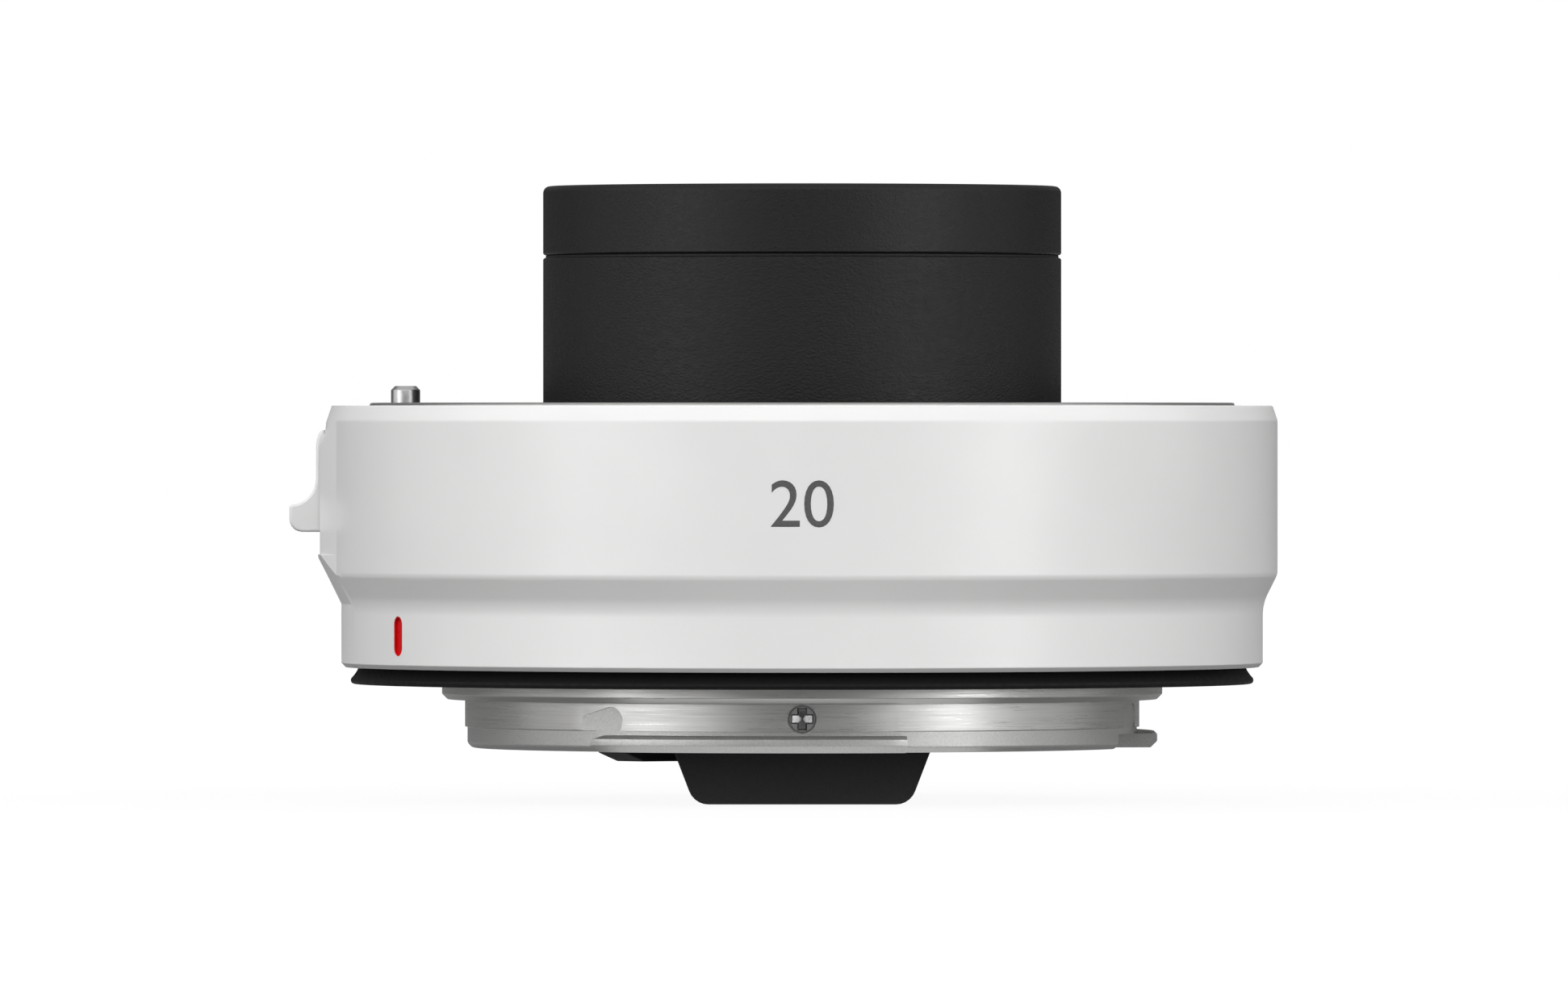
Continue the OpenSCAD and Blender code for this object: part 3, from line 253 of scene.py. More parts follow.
# Near and far edge, first and last degree right of the camera, and level
CARDS = (
    ("top_card", TOP_CARD_FOOT, TOP_CARD_TOP, -45, 45, 1.2),
    ("brow_card", BROW_FOOT, TOP_CARD_FOOT, -25, 25, 1.2),
    ("left_strip", STRIP_FOOT, STRIP_TOP, -60, -52, 6.4),
    ("right_strip", STRIP_FOOT, STRIP_TOP, 49, 57, 9),
    ("front_card", CARD_FOOT, CARD_TOP, -28, 28, 0.1),
    ("left_card", CARD_FOOT, CARD_WAIST, -62, -28, 2),
    ("left_upper_card", CARD_WAIST, CARD_TOP, -62, -28, 0.8),
    ("right_card", CARD_FOOT, CARD_WAIST, 28, 62, 2),
    ("right_upper_card", CARD_WAIST, CARD_TOP, 28, 62, 0.8),
    ("left_side_card", CARD_FOOT, CARD_TOP, -108, -62, 0.9),
    ("right_side_card", CARD_FOOT, CARD_TOP, 62, 108, 0.85),
    ("back_card", CARD_FOOT, CARD_WAIST, 108, 252, 0.04),
    ("back_upper_card", CARD_WAIST, CARD_TOP, 108, 252, 0.2),
    ("roof_card", CARD_TOP, ROOF_MIDDLE, 0, 360, 0.6),
    ("near_floor", FLAG_EDGE, FLAG_STEP, -38, 38, 0.62),
    ("side_floor", FLAG_EDGE, FLAG_STEP, 38, 322, 0.2),
    ("far_floor", FLAG_STEP, CARD_FOOT, 0, 360, 0.3),
)
bpy.context.scene.view_settings.view_transform = "Standard"
set_camera()
set_surround(ambient=0.2)
set_floor()
for lamp in LAMPS:
    soft_box(*lamp)
for card in CARDS:
    bent_card(*card)


# Finishes. Each is a Principled shader with its plain numbers on the sockets and its grain in nodes
NOISE_LOW = 0.3
NOISE_HIGH = 0.7
GRAIN_R = 27


def finish(name, colour, roughness, metallic=0.0, **sockets):
    made = bpy.data.materials.new(name)
    made.use_nodes = True
    shader = made.node_tree.nodes["Principled BSDF"]
    shader.inputs["Base Color"].default_value = (*colour, 1)
    shader.inputs["Roughness"].default_value = roughness
    shader.inputs["Metallic"].default_value = metallic
    for socket, value in sockets.items():
        shader.inputs[socket.replace("_", " ")].default_value = value
    return made


def object_coords(made):
    tree = made.node_tree
    coords = tree.nodes.get("coords") or tree.nodes.new("ShaderNodeTexCoord")
    coords.name = "coords"
    return coords.outputs["Object"]


def turned_coords(made, along=0.02):
    """Radius, height and a little of the angle about the optical axis, so that a pattern runs in rings."""
    tree = made.node_tree
    split = tree.nodes.new("ShaderNodeSeparateXYZ")
    tree.links.new(object_coords(made), split.inputs[0])
    flat = tree.nodes.new("ShaderNodeCombineXYZ")
    tree.links.new(split.outputs["X"], flat.inputs["X"])
    tree.links.new(split.outputs["Y"], flat.inputs["Y"])
    radius = tree.nodes.new("ShaderNodeVectorMath")
    radius.operation = "LENGTH"
    tree.links.new(flat.outputs[0], radius.inputs[0])
    angle = tree.nodes.new("ShaderNodeMath")
    angle.operation = "ARCTAN2"
    tree.links.new(split.outputs["Y"], angle.inputs[0])
    tree.links.new(split.outputs["X"], angle.inputs[1])
    arc = tree.nodes.new("ShaderNodeMath")
    arc.operation = "MULTIPLY"
    arc.inputs[1].default_value = along * GRAIN_R * MM
    tree.links.new(angle.outputs[0], arc.inputs[0])
    joined = tree.nodes.new("ShaderNodeCombineXYZ")
    tree.links.new(radius.outputs["Value"], joined.inputs["X"])
    tree.links.new(split.outputs["Z"], joined.inputs["Y"])
    tree.links.new(arc.outputs[0], joined.inputs["Z"])
    return joined.outputs[0]


def stretched_coords(made, scale):
    tree = made.node_tree
    mapping = tree.nodes.new("ShaderNodeMapping")
    mapping.inputs["Scale"].default_value = scale
    tree.links.new(object_coords(made), mapping.inputs["Vector"])
    return mapping.outputs["Vector"]


def noise(made, size_mm, detail=3.0, rough=0.5, coords=None):
    tree = made.node_tree
    cloud = tree.nodes.new("ShaderNodeTexNoise")
    cloud.inputs["Scale"].default_value = 1 / (size_mm * MM)
    cloud.inputs["Detail"].default_value = detail
    cloud.inputs["Roughness"].default_value = rough
    tree.links.new(coords or object_coords(made), cloud.inputs["Vector"])
    return cloud.outputs["Fac"]


def bump(made, height, depth_mm, strength=1.0):
    """Adds a relief to the shader's normal, on top of any relief that it has."""
    tree = made.node_tree
    shader = tree.nodes["Principled BSDF"]
    relief = tree.nodes.new("ShaderNodeBump")
    relief.inputs["Strength"].default_value = strength
    relief.inputs["Distance"].default_value = depth_mm * MM
    tree.links.new(height, relief.inputs["Height"])
    normal = shader.inputs["Normal"]
    if normal.is_linked:
        tree.links.new(normal.links[0].from_socket, relief.inputs["Normal"])
    tree.links.new(relief.outputs["Normal"], normal)


def spread(made, fac, low, high, socket):
    """Lets a socket run from low to high with a pattern."""
    tree = made.node_tree
    shader = tree.nodes["Principled BSDF"]
    if isinstance(low, tuple):
        ramp = tree.nodes.new("ShaderNodeValToRGB")
        ramp.color_ramp.elements[0].position = NOISE_LOW
        ramp.color_ramp.elements[1].position = NOISE_HIGH
        ramp.color_ramp.elements[0].color = (*low, 1)
        ramp.color_ramp.elements[1].color = (*high, 1)
        tree.links.new(fac, ramp.inputs["Fac"])
        tree.links.new(ramp.outputs["Color"], shader.inputs[socket])
    else:
        scale = tree.nodes.new("ShaderNodeMapRange")
        scale.inputs["From Min"].default_value = NOISE_LOW
        scale.inputs["From Max"].default_value = NOISE_HIGH
        scale.inputs["To Min"].default_value = low
        scale.inputs["To Max"].default_value = high
        tree.links.new(fac, scale.inputs["Value"])
        tree.links.new(scale.outputs["Result"], shader.inputs[socket])


def white_paint():
    made = finish("white_paint", (0.82, 0.82, 0.815), 0.32)
    spread(made, noise(made, 9, detail=2), (0.81, 0.81, 0.806), (0.835, 0.835, 0.83), "Base Color")
    spread(made, noise(made, 0.5, detail=4), 0.28, 0.37, "Roughness")
    bump(made, noise(made, 0.35, detail=2), 0.003)
    bump(made, noise(made, 0.12, detail=2), 0.0015)
    return made


def black_crackle():
    made = finish("black_crackle", (0.006, 0.006, 0.006), 0.48, Specular_IOR_Level=0.36)
    wide = stretched_coords(made, (1, 1, 1.7))
    spread(made, noise(made, 0.6, detail=4), 0.42, 0.54, "Roughness")
    bump(made, noise(made, 0.24, detail=2, coords=wide), 0.05)
    return made


def black_satin():
    made = finish("black_satin", (0.006, 0.006, 0.006), 0.45, Specular_IOR_Level=0.36)
    spread(made, noise(made, 0.4, detail=4), 0.4, 0.5, "Roughness")
    bump(made, noise(made, 0.16, detail=2), 0.03)
    return made


def turned_steel():
    made = finish("turned_steel", (0.6, 0.596, 0.587), 0.3, 1.0, Anisotropic=0.6)
    tree = made.node_tree
    tangent = tree.nodes.new("ShaderNodeTangent")
    tangent.direction_type = "RADIAL"
    tangent.axis = "Z"
    tree.links.new(tangent.outputs[0], tree.nodes["Principled BSDF"].inputs["Tangent"])
    rings = turned_coords(made)
    spread(made, noise(made, 0.1, detail=2, coords=rings), 0.26, 0.38, "Roughness")
    spread(made, noise(made, 0.16, detail=3, coords=rings),
           (0.555, 0.552, 0.543), (0.64, 0.636, 0.626), "Base Color")
    bump(made, noise(made, 0.07, detail=2, coords=rings), 0.0006)
    return made


def blasted_steel():
    made = finish("blasted_steel", (0.67, 0.667, 0.66), 0.46, 1.0)
    spread(made, noise(made, 0.15, detail=3), 0.4, 0.54, "Roughness")
    spread(made, noise(made, 0.12, detail=2), (0.62, 0.617, 0.61), (0.72, 0.717, 0.71), "Base Color")
    bump(made, noise(made, 0.09, detail=2), 0.004)
    return made


def plain_steel():
    made = finish("plain_steel", (0.55, 0.55, 0.55), 0.3, 1.0)
    spread(made, noise(made, 0.3, detail=4), 0.24, 0.4, "Roughness")
    return made


# Steel darker than the screw heads, for their cross recesses: painted shade in the recess.
def shaded_recess_steel():
    made = finish("shaded_recess_steel", (0.3, 0.3, 0.3), 0.28, 1.0)
    spread(made, noise(made, 0.2, detail=3), 0.24, 0.36, "Roughness")
    return made


def spring_wire():
    made = finish("spring_wire", (0.5, 0.5, 0.51), 0.25, 1.0)
    spread(made, noise(made, 0.2, detail=3), 0.2, 0.35, "Roughness")
    return made


def chromed():
    made = finish("chromed", (0.66, 0.66, 0.66), 0.3, 1.0)
    spread(made, noise(made, 0.8, detail=2), 0.28, 0.33, "Roughness")
    return made


def seal_rubber():
    made = finish("seal_rubber", (0.004, 0.004, 0.004), 0.6, Specular_IOR_Level=0.25)
    spread(made, noise(made, 0.5, detail=4), 0.52, 0.72, "Roughness")
    bump(made, noise(made, 0.12, detail=2), 0.008)
    return made


def moulded_black():
    made = finish("moulded_black", (0.012, 0.012, 0.0125), 0.5, Specular_IOR_Level=0.4)
    spread(made, noise(made, 0.5, detail=4), 0.45, 0.6, "Roughness")
    bump(made, noise(made, 0.1, detail=2), 0.01)
    return made


def anodised_black():
    made = finish("anodised_black", (0.012, 0.012, 0.013), 0.55)
    spread(made, noise(made, 0.2, detail=3, coords=turned_coords(made)), 0.48, 0.66, "Roughness")
    return made


def cast_alloy():
    made = finish("cast_alloy", (0.3, 0.3, 0.31), 0.45, 1.0)
    spread(made, noise(made, 1.5, detail=5), 0.38, 0.55, "Roughness")
    bump(made, noise(made, 0.4, detail=4), 0.01)
    return made


def red_enamel():
    made = finish("red_enamel", (0.62, 0.002, 0.004), 0.3, Specular_IOR_Level=0.3)
    spread(made, noise(made, 0.4, detail=2), 0.25, 0.36, "Roughness")
    return made


def grey_ink():
    made = finish("grey_ink", (0.08, 0.08, 0.08), 0.5)
    spread(made, noise(made, 0.2, detail=3), (0.07, 0.07, 0.07), (0.09, 0.09, 0.09), "Base Color")
    return made


def gold_plate():
    made = finish("gold_plate", (0.83, 0.60, 0.25), 0.22, 1.0)
    spread(made, noise(made, 0.25, detail=3), 0.16, 0.32, "Roughness")
    return made


def solder_mask():
    made = finish("solder_mask", (0.02, 0.12, 0.05), 0.35)
    spread(made, noise(made, 1.2, detail=3), (0.016, 0.10, 0.042), (0.026, 0.15, 0.06), "Base Color")
    return made


def chip_mould():
    made = finish("chip_mould", (0.025, 0.025, 0.027), 0.6)
    bump(made, noise(made, 0.08, detail=2), 0.006)
    return made


def amber_film():
    made = finish("amber_film", (0.45, 0.2, 0.04), 0.3)
    spread(made, noise(made, 2, detail=2), (0.40, 0.17, 0.03), (0.50, 0.24, 0.05), "Base Color")
    return made


def coated_glass():
    made = finish("coated_glass", (0.98, 1.0, 0.99), 0.0, Transmission_Weight=1.0, IOR=1.52)
    shader = made.node_tree.nodes["Principled BSDF"]
    shader.inputs["Thin Film Thickness"].default_value = 420
    shader.inputs["Thin Film IOR"].default_value = 1.38
    return made


FINISHES = {
    "shell_paint": white_paint, "index_red": red_enamel, "chassis_metal": cast_alloy,
    "mount_steel": turned_steel, "screw_steel": plain_steel, "spring_steel": spring_wire,
    "pin_chrome": chromed, "seal_rubber": seal_rubber, "black_plastic": moulded_black,
    "barrel_black": black_crackle, "cell_black": anodised_black, "contact_gold": gold_plate,
    "board_green": solder_mask, "chip_black": chip_mould, "flex_amber": amber_film,
    "lens_glass": coated_glass,
}
made_finishes = {slot: make() for slot, make in FINISHES.items()}
record = frame["record"]
slot_of = {part["node"]: part["material_slot"] for part in record["subparts"]}
body_of = {node: body for body, members in record["behaviour"]["bodies"].items() for node in members}
for node, slot in slot_of.items():
    nodes[node].data.materials.clear()
    nodes[node].data.materials.append(made_finishes[slot])
nodes["front_ring"].data.materials[0] = black_satin()


# Finished pieces, each of which stands for a node of the frame
SAME_POINT = 0.002
FLAT_ANGLE = 0.6
LEVEL_WITHIN = 0.02


def stand_for(node, shape, name=None, smooth=35):
    """Makes a piece of a shape, in place of a node, with that node's body and finish."""
    name = name or node + ".finished"
    piece = link(name, to_mesh(name, shape))
    if "custom_normal" in piece.data.attributes:
        piece.data.attributes.remove(piece.data.attributes["custom_normal"])
    for face in piece.data.polygons:
        face.use_smooth = True
    piece.data.set_sharp_from_angle(angle=math.radians(smooth))
    even = piece.modifiers.new("even_shading", "WEIGHTED_NORMAL")
    even.keep_sharp = True
    piece.data.materials.append(nodes[node].data.materials[0])
    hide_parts(node)
    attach(piece, body_of[node])
    return piece


def merged_copy(node):
    """The node's own triangles, merged into whole faces."""
    shape = bmesh.new()
    shape.from_mesh(nodes[node].data)
    bmesh.ops.remove_doubles(shape, verts=shape.verts, dist=SAME_POINT * MM)
    bmesh.ops.dissolve_limit(shape, angle_limit=math.radians(FLAT_ANGLE), use_dissolve_boundaries=False,
                             verts=shape.verts, edges=shape.edges)
    return shape


def middle(edge):
    """The middle of an edge in mm."""
    return (edge.verts[0].co + edge.verts[1].co) / 2 / MM


def is_ring(edge):
    """Whether an edge runs level round the optical axis."""
    first, second = (vert.co for vert in edge.verts)
    return (abs(first.z - second.z) < LEVEL_WITHIN * MM
            and abs(first.xy.length - second.xy.length) < LEVEL_WITHIN * MM)


def round_edges(shape, radius_mm, wanted=None, least_angle=30, least_mm=0.0, clamp=False):
    """Rounds the wanted ones of a shape's sharp edges."""
    edges = [edge for edge in shape.edges
             if edge.calc_face_angle(0) > math.radians(least_angle) and edge.calc_length() > least_mm * MM
             and (wanted is None or wanted(edge))]
    bmesh.ops.bevel(shape, geom=edges, affect="EDGES", offset_type="OFFSET", offset=radius_mm * MM,
                    segments=3, profile=0.5, material=-1, clamp_overlap=clamp)


def eased(node, radius_mm, wanted=None, **limits):
    """A copy of a node with rounded edges."""
    shape = merged_copy(node)
    round_edges(shape, radius_mm, wanted, **limits)
    return stand_for(node, shape)


def recoat(piece, made, wanted):
    """Gives the faces that are wanted, by their middle in mm, a finish of their own."""
    piece.data.materials.append(made)
    for face in piece.data.polygons:
        if wanted(face.center / MM):
            face.material_index = 1


# Shell, mount rings and barrel: turned pieces with their round edges eased
TURNED = {"least_angle": 14, "least_mm": 0.5}
LEVER_PAD_HALF = 9.5
PAD_FOOT_X = -34
PAD_FOOT_Y = 8
PAD_FOOT_WITHIN = 0.05
PAD_FOOT_SLIVER = 0.03
SHELL_SEAT_R = 32
SHELL_EDGES = ((0, 1, 0.05), (4, 6, 0.7), (6, 8, 0.25), (18, 21, 0.12))
SPIGOT_R = 26
SPIGOT_FOOT_Z = -2
LUG_TOP_Z = -4
LUG_ROOT_R = 25.5
LUG_START = -37
LUG_SWEEP = 55
LUG_PITCH = 120
LUG_EDGE = 0.05
RELIEF_Z = -3.95
STEP_Z = -3.93
STEP_WITHIN = 0.1
STEP_LONGEST = 1.5
MARK_TOP_Z = -2.1
MARK_R = (24.9, 25.2)
MARK_CLEAR_X = 6
TUBE_FOOT_Z = -5.05
TUBE_FOOT_R = (24.6, 25.1)
TUBE_FOOT_ANGLE = 60
RING_EDGE = 0.14
LENS_RING_FOOT_Z = 18.5
GROOVE_LOW_Z = 30
GROOVE_HIGH_Z = 31.6
GROOVE_EDGE = 0.04
FLANGE_Z = 0
LOCK_PIN_TIP_Z = 21.2
LEVER_FACE_X = -35.9


def shell_ring(low, high):
    """A test for the shell's round edges between two heights, clear of the lever's pad."""
    def wanted(edge):
        at = middle(edge)
        by_lever = at.x < 0 and abs(at.y) < LEVER_PAD_HALF
        return is_ring(edge) and low < at.z < high and at.xy.length > SHELL_SEAT_R and not by_lever
    return wanted


def ring_above(height):
    """A test for round edges above a height."""
    return lambda edge: is_ring(edge) and middle(edge).z > height


def ring_below(height):
    """A test for round edges below a height."""
    return lambda edge: is_ring(edge) and middle(edge).z < height


def by_lug(at):
    """Whether a point lies above one of the three lugs."""
    return (math.degrees(math.atan2(at.x, -at.y)) - LUG_START) % LUG_PITCH < LUG_SWEEP


def bayonet_edge(edge):
    """Whether an edge of the camera ring is on its spigot, on a lug or on the step between lugs."""
    at = middle(edge)
    on_spigot = is_ring(edge) and at.z > SPIGOT_FOOT_Z and at.xy.length > SPIGOT_R
    on_lug = at.z < LUG_TOP_Z and min(vert.co.xy.length for vert in edge.verts) > LUG_ROOT_R * MM
    on_step = (is_ring(edge) and abs(at.z - STEP_Z) < STEP_WITHIN
               and edge.calc_length() < STEP_LONGEST * MM and not by_lug(at))
    return on_spigot or on_lug or on_step


def tube_foot(edge):
    """Whether an edge is the outer one at the foot of the camera ring's tube."""
    at = middle(edge)
    return (is_ring(edge) and at.z < TUBE_FOOT_Z and TUBE_FOOT_R[0] < at.xy.length < TUBE_FOOT_R[1]
            and edge.calc_face_angle(0) < math.radians(TUBE_FOOT_ANGLE))


def blasted(at):
    """Whether a face of the camera ring is in the relief or is the flat floor that the lug cutter left above it."""
    on_mark = (STEP_Z < at.z < MARK_TOP_Z and MARK_R[0] < at.xy.length < MARK_R[1]
               and abs(at.x) > MARK_CLEAR_X)
    return at.z < RELIEF_Z or on_mark


shell = merged_copy("body_shell")
pad_foot = [vert for vert in shell.verts
            if vert.co.x < PAD_FOOT_X * MM and abs(abs(vert.co.y) - PAD_FOOT_Y * MM) < PAD_FOOT_WITHIN * MM]
bmesh.ops.remove_doubles(shell, verts=pad_foot, dist=PAD_FOOT_SLIVER * MM)
for low, high, radius in SHELL_EDGES:
    round_edges(shell, radius, shell_ring(low, high), **TURNED)
stand_for("body_shell", shell, smooth=25)
ring = merged_copy("camera_mount")
round_edges(ring, RING_EDGE, tube_foot)
round_edges(ring, LUG_EDGE, bayonet_edge, least_angle=14, least_mm=0.1)
recoat(stand_for("camera_mount", ring, smooth=25), blasted_steel(), blasted)
eased("lens_mount", RING_EDGE, ring_above(LENS_RING_FOOT_Z), **TURNED)
eased("front_barrel", GROOVE_EDGE, ring_above(GROOVE_LOW_Z), least_mm=0.5)
eased("front_ring", GROOVE_EDGE, ring_below(GROOVE_HIGH_Z), least_mm=0.5)
eased("mount_seal", 0.1, ring_below(FLANGE_Z), least_angle=20, least_mm=0.5)
eased("rear_baffle", 0.15, least_mm=0.4)
eased("rear_contact_block", 0.12, least_mm=0.4)
eased("lock_pin", 0.03, lambda edge: middle(edge).z > LOCK_PIN_TIP_Z)
eased("release_lever", 0.2, lambda edge: middle(edge).x < LEVER_FACE_X, least_mm=0.05)
for node in ("well_liner", "pin_block", "front_cell", "rear_cell"):
    eased(node, 0.1, clamp=True)


# Screws with a cross recess, whose floors fall to the middle
# Sizes of the cross as shares of the head's radius, and its floor's slope
CROSS_HALF = 0.37
CROSS_FLOOR_HALF = 0.26
CROSS_REACH = 0.86
CROSS_END_DEPTH = 0.16
CROSS_FALL = 0.5
HEAD_EDGE = 0.05
HEAD_SIDES = 48
# The cross recesses take a darker steel: painted shade in the recess.
recess_shade_finish = shaded_recess_steel()


def carry(shape, loop, radius_mm, height_mm):
    """Extrudes a round loop of edges to another radius and height."""
    made = bmesh.ops.extrude_edge_only(shape, edges=loop)["geom"]
    verts = [part for part in made if isinstance(part, bmesh.types.BMVert)]
    for vert in verts:
        vert.co.xy *= radius_mm * MM / vert.co.xy.length
        vert.co.z = height_mm * MM
    return [part for part in made if isinstance(part, bmesh.types.BMEdge)
            and part.verts[0] in verts and part.verts[1] in verts]


def cross_head_screw(head_r, steps):
    """One screw that points down from its head's face at the origin; steps are the radii and heights of its side."""
    shape = bmesh.new()
    bmesh.ops.create_circle(shape, cap_ends=True, radius=(head_r - HEAD_EDGE) * MM, segments=HEAD_SIDES)
    half, reach = CROSS_HALF * head_r * MM, CROSS_REACH * head_r * MM
    for across in (Vector((1, 0, 0)), Vector((0, 1, 0))):
        for side in (-reach, -half, half, reach):
            bmesh.ops.bisect_plane(shape, geom=shape.verts[:] + shape.edges[:] + shape.faces[:],
                                   plane_co=across * side, plane_no=across, dist=1e-8)
    rim = [edge for edge in shape.edges if edge.is_boundary]

    def in_cross(face):
        near, far = sorted(abs(value) for value in face.calc_center_median().xy)
        return near < half and far < reach

    cross = [face for face in shape.faces if in_cross(face)]
    # The cross faces sink into the recess and take the second, darker finish: painted shade.
    for face in cross:
        face.material_index = 1
    sunk = bmesh.ops.extrude_face_region(shape, geom=cross)["geom"]
    bmesh.ops.delete(shape, geom=cross, context="FACES_ONLY")
    floor = [part for part in sunk if isinstance(part, bmesh.types.BMFace)]
    taper = CROSS_FLOOR_HALF / CROSS_HALF
    hub = min(floor, key=lambda face: face.calc_center_median().length)
    tip = bmesh.ops.poke(shape, faces=[hub])["verts"]
    for vert in [part for part in sunk if isinstance(part, bmesh.types.BMVert)] + tip:
        out = max(abs(vert.co.x), abs(vert.co.y))
        vert.co.z = -CROSS_END_DEPTH * head_r * MM - CROSS_FALL * (reach - out)
        for axis in (0, 1):
            vert.co[axis] *= taper if abs(vert.co[axis]) < 1.01 * half else 1 - (1 - taper) * half / reach
    for radius, height in [(head_r, -HEAD_EDGE)] + steps:
        rim = carry(shape, rim, radius, height)
    bmesh.ops.edgeloop_fill(shape, edges=rim)
    bmesh.ops.recalc_face_normals(shape, faces=shape.faces)
    return to_mesh("one_screw", shape)


def screws(node, one, places):
    """Copies of one screw at its places, as one piece."""
    shape = bmesh.new()
    for place in places:
        before = len(shape.verts)
        shape.from_mesh(one)
        shape.verts.ensure_lookup_table()
        bmesh.ops.transform(shape, matrix=place, verts=shape.verts[before:])
    piece = stand_for(node, shape, smooth=25)
    piece.data.materials.append(recess_shade_finish)


def round_places(angles, radius_mm, height_mm, tilt=0.0):
    """Places round the optical axis; the tilt turns a screw's head from +Z outwards."""
    return [Matrix.Rotation(math.radians(angle), 4, "Z") @ Matrix.Translation((radius_mm * MM, 0, height_mm * MM))
            @ Matrix.Rotation(math.radians(tilt), 4, "Y") for angle in angles]


RING_SCREW_ANGLES = (45, 135, 225, 315)
RING_SCREW_R = 29.7
RING_HEAD_R = 1.5
RING_HEAD_H = 0.8
RING_SHANK_R = 0.8
SMALL_HEAD_R = 0.98
SMALL_HEAD_H = 0.5
SMALL_SHANK_R = 0.55
LENS_FLANGE_Z = 20.3


def ring_screw(length):
    """A countersunk screw of the mount rings."""
    return cross_head_screw(RING_HEAD_R, [(RING_SHANK_R, -RING_HEAD_H), (RING_SHANK_R, -length)])


def small_screw(length, cheese=True):
    """A small screw with a straight or a countersunk head."""
    side = [(SMALL_HEAD_R, -SMALL_HEAD_H)] if cheese else []
    return cross_head_screw(SMALL_HEAD_R, side + [(SMALL_SHANK_R, -SMALL_HEAD_H), (SMALL_SHANK_R, -length)])


screws("lens_mount_screws", ring_screw(5.7), round_places(RING_SCREW_ANGLES, RING_SCREW_R, LENS_FLANGE_Z))
screws("camera_mount_screws", ring_screw(7.25), round_places(RING_SCREW_ANGLES, RING_SCREW_R, FLANGE_Z, 180))
screws("baffle_screws", small_screw(2.2), round_places((270, 30, 150), 25.0, -3.0, 90))
screws("barrel_screws", small_screw(2.5, cheese=False), round_places((15, 165, 270), 25.8, 12.4))
screws("rear_contact_screws", small_screw(7.8), round_places((62.875, 136.125), 21.4, -4.9, 180))


# Springs of round wire
COIL_STEPS = 24
WIRE_SIDES = 10
CLOSED_PITCH = 2.05


def coil(node, name, centre, mean_r, wire_r, low, high, turns, joint, travel):
    """A coil of round wire along Z with a closed turn at each end."""
    shape = bmesh.new()
    start = Matrix.Translation((centre[0] + mean_r * MM, centre[1], (low + wire_r) * MM))
    bmesh.ops.create_circle(shape, radius=wire_r * MM, segments=WIRE_SIDES,
                            matrix=start @ Matrix.Rotation(math.radians(90), 4, "X"))
    closed = CLOSED_PITCH * wire_r
    stretch = ((1, closed), (turns - 2, high - low - 2 * wire_r - 2 * closed), (1, closed))
    ends = shape.verts[:] + shape.edges[:]
    for count, rise in stretch:
        steps = count * COIL_STEPS
        ends = bmesh.ops.spin(shape, geom=ends, cent=(*centre, 0), axis=(0, 0, 1), dvec=(0, 0, rise * MM / steps),
                              angle=2 * math.pi * count, steps=steps)["geom_last"]
    bmesh.ops.holes_fill(shape, edges=[edge for edge in shape.edges if edge.is_boundary], sides=0)
    bmesh.ops.recalc_face_normals(shape, faces=shape.faces)
    piece = stand_for(node, shape, name)
    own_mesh(piece)


# Contact pins with a domed tip, each over its own spring
PIN_COUNT = 12
PIN_R = 0.45
PIN_COLLAR_R = 0.66
PIN_COLLAR_H = 0.75
PIN_EDGE = 0.08
PIN_SIDES = 24
PIN_TRAVEL = 0.8
LOCK_TRAVEL = 1.6
PIN_SPRING = {"mean_r": 0.5, "wire_r": 0.11, "low": 8.92, "high": 11.38, "turns": 4}
LOCK_SPRING = {"mean_r": 1.15, "wire_r": 0.2, "low": 3.17, "high": 11.48, "turns": 6}


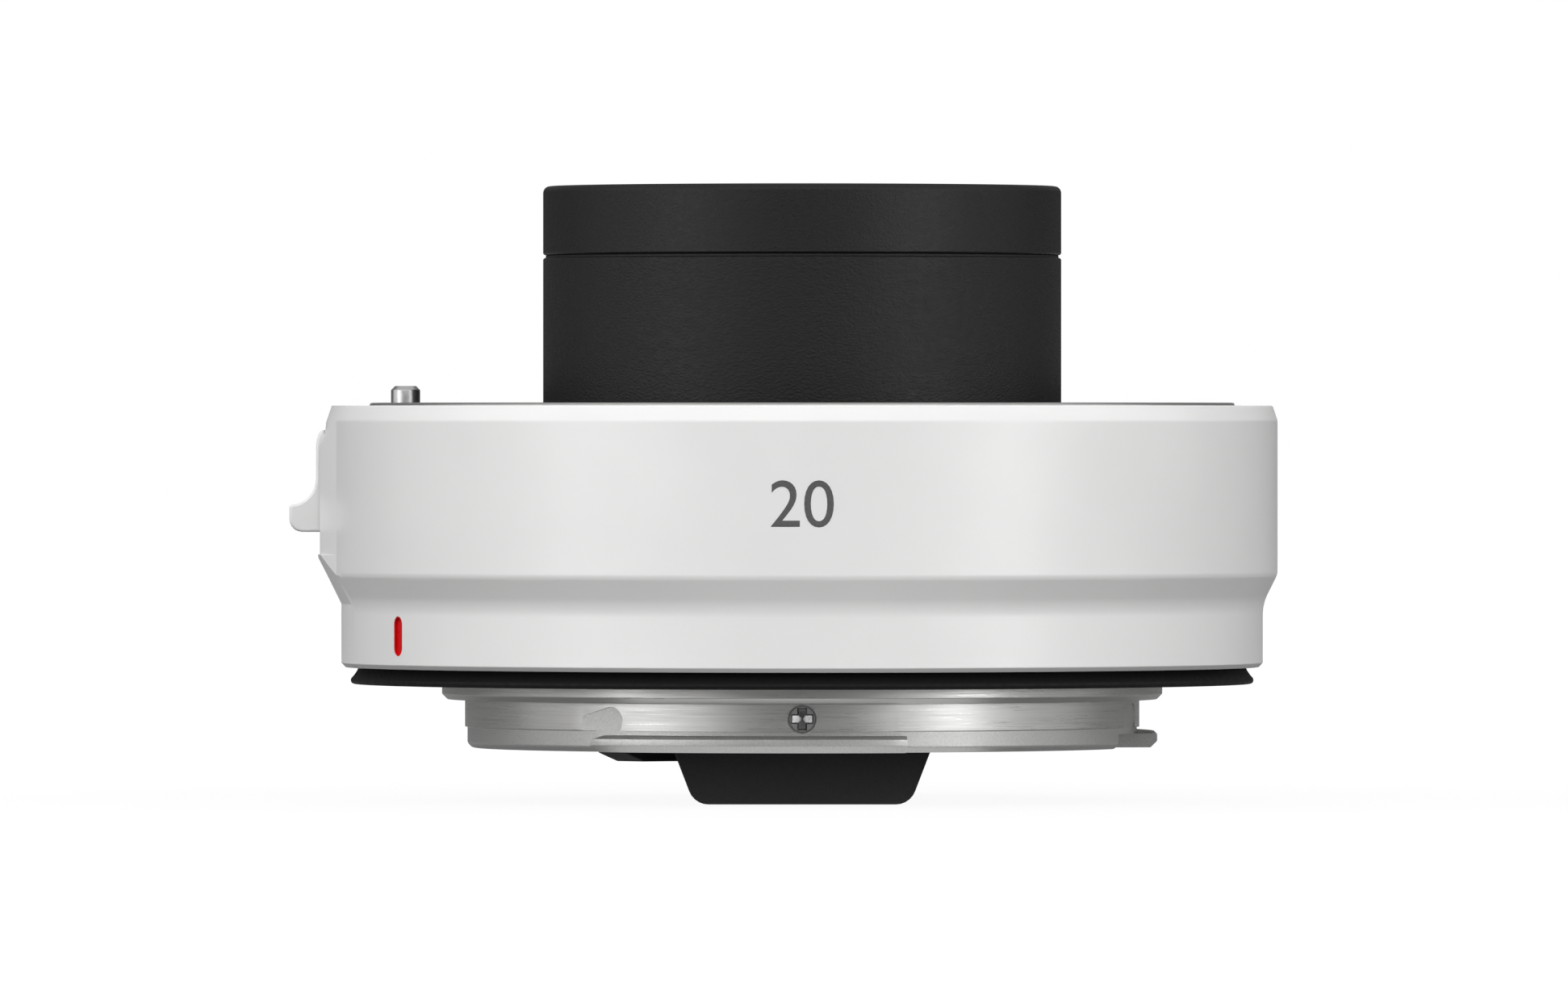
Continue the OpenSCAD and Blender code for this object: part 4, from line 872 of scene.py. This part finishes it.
def contact_pin(node):
    """One pin in its node's box; returns its centre."""
    low, high = (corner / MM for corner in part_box(node))
    centre = (low + high) / 2
    shape = bmesh.new()
    top = low.z + PIN_COLLAR_H
    outline = [(0, low.z), (PIN_COLLAR_R - PIN_EDGE, low.z), (PIN_COLLAR_R, low.z + PIN_EDGE),
               (PIN_COLLAR_R, top - PIN_EDGE), (PIN_COLLAR_R - PIN_EDGE, top), (PIN_R, top)]
    for lift in range(0, 91, 15):
        rise = math.radians(lift)
        outline.append((PIN_R * math.cos(rise), high.z - PIN_R + PIN_R * math.sin(rise)))
    verts = [shape.verts.new(((centre.x + radius) * MM, centre.y * MM, height * MM)) for radius, height in outline]
    edges = [shape.edges.new(pair) for pair in zip(verts, verts[1:])]
    bmesh.ops.spin(shape, geom=verts + edges, cent=(centre.x * MM, centre.y * MM, 0), axis=(0, 0, 1),
                   angle=2 * math.pi, steps=PIN_SIDES, use_merge=True)
    bmesh.ops.remove_doubles(shape, verts=shape.verts, dist=0.001 * MM)
    bmesh.ops.recalc_face_normals(shape, faces=shape.faces)
    stand_for(node, shape)
    return centre.x * MM, centre.y * MM


for number in range(1, PIN_COUNT + 1):
    pin = f"contact_pin_{number:02d}"
    coil("contact_springs", f"contact_spring_{number:02d}", contact_pin(pin), joint=pin + "_press",
         travel=PIN_TRAVEL, **PIN_SPRING)
coil("lock_spring", "lock_spring.finished", (-RING_SCREW_R * MM, 0), joint="release_slide",
     travel=LOCK_TRAVEL, **LOCK_SPRING)


# Plain number on the shell: the length between the two flanges in whole millimetres
NUMBER_H = 3.4
NUMBER_FOOT_Z = 11.2
NUMBER_LIFT = 0.006
NUMBER_STRIP = 0.25
NUMBER_STRIPS = 20
FIGURE_SHARE = 0.69
SHELL_R = 35.6


def shell_number(text):
    """Printed figures, cut into strips so that they bend round the shell."""
    curve = bpy.data.curves.new("shell_number", "FONT")
    curve.body = text
    curve.size = NUMBER_H * MM / FIGURE_SHARE
    curve.align_x = "CENTER"
    curve.resolution_u = 6
    source = link("shell_number.source", curve)
    bpy.context.view_layer.update()
    shape = bmesh.new()
    shape.from_mesh(source.evaluated_get(bpy.context.evaluated_depsgraph_get()).to_mesh())
    bpy.data.objects.remove(source)
    for step in range(-NUMBER_STRIPS, NUMBER_STRIPS + 1):
        bmesh.ops.bisect_plane(shape, geom=shape.verts[:] + shape.edges[:] + shape.faces[:],
                               plane_co=(step * NUMBER_STRIP * MM, 0, 0), plane_no=(1, 0, 0), dist=1e-7)
    reach = (SHELL_R + NUMBER_LIFT) * MM
    for vert in shape.verts:
        turn = vert.co.x / reach
        vert.co = Vector((reach * math.sin(turn), -reach * math.cos(turn), NUMBER_FOOT_Z * MM + vert.co.y))
    piece = link("shell_number", to_mesh("shell_number", shape))
    piece.data.materials.append(grey_ink())
    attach(piece, "housing")


shell_number("20")
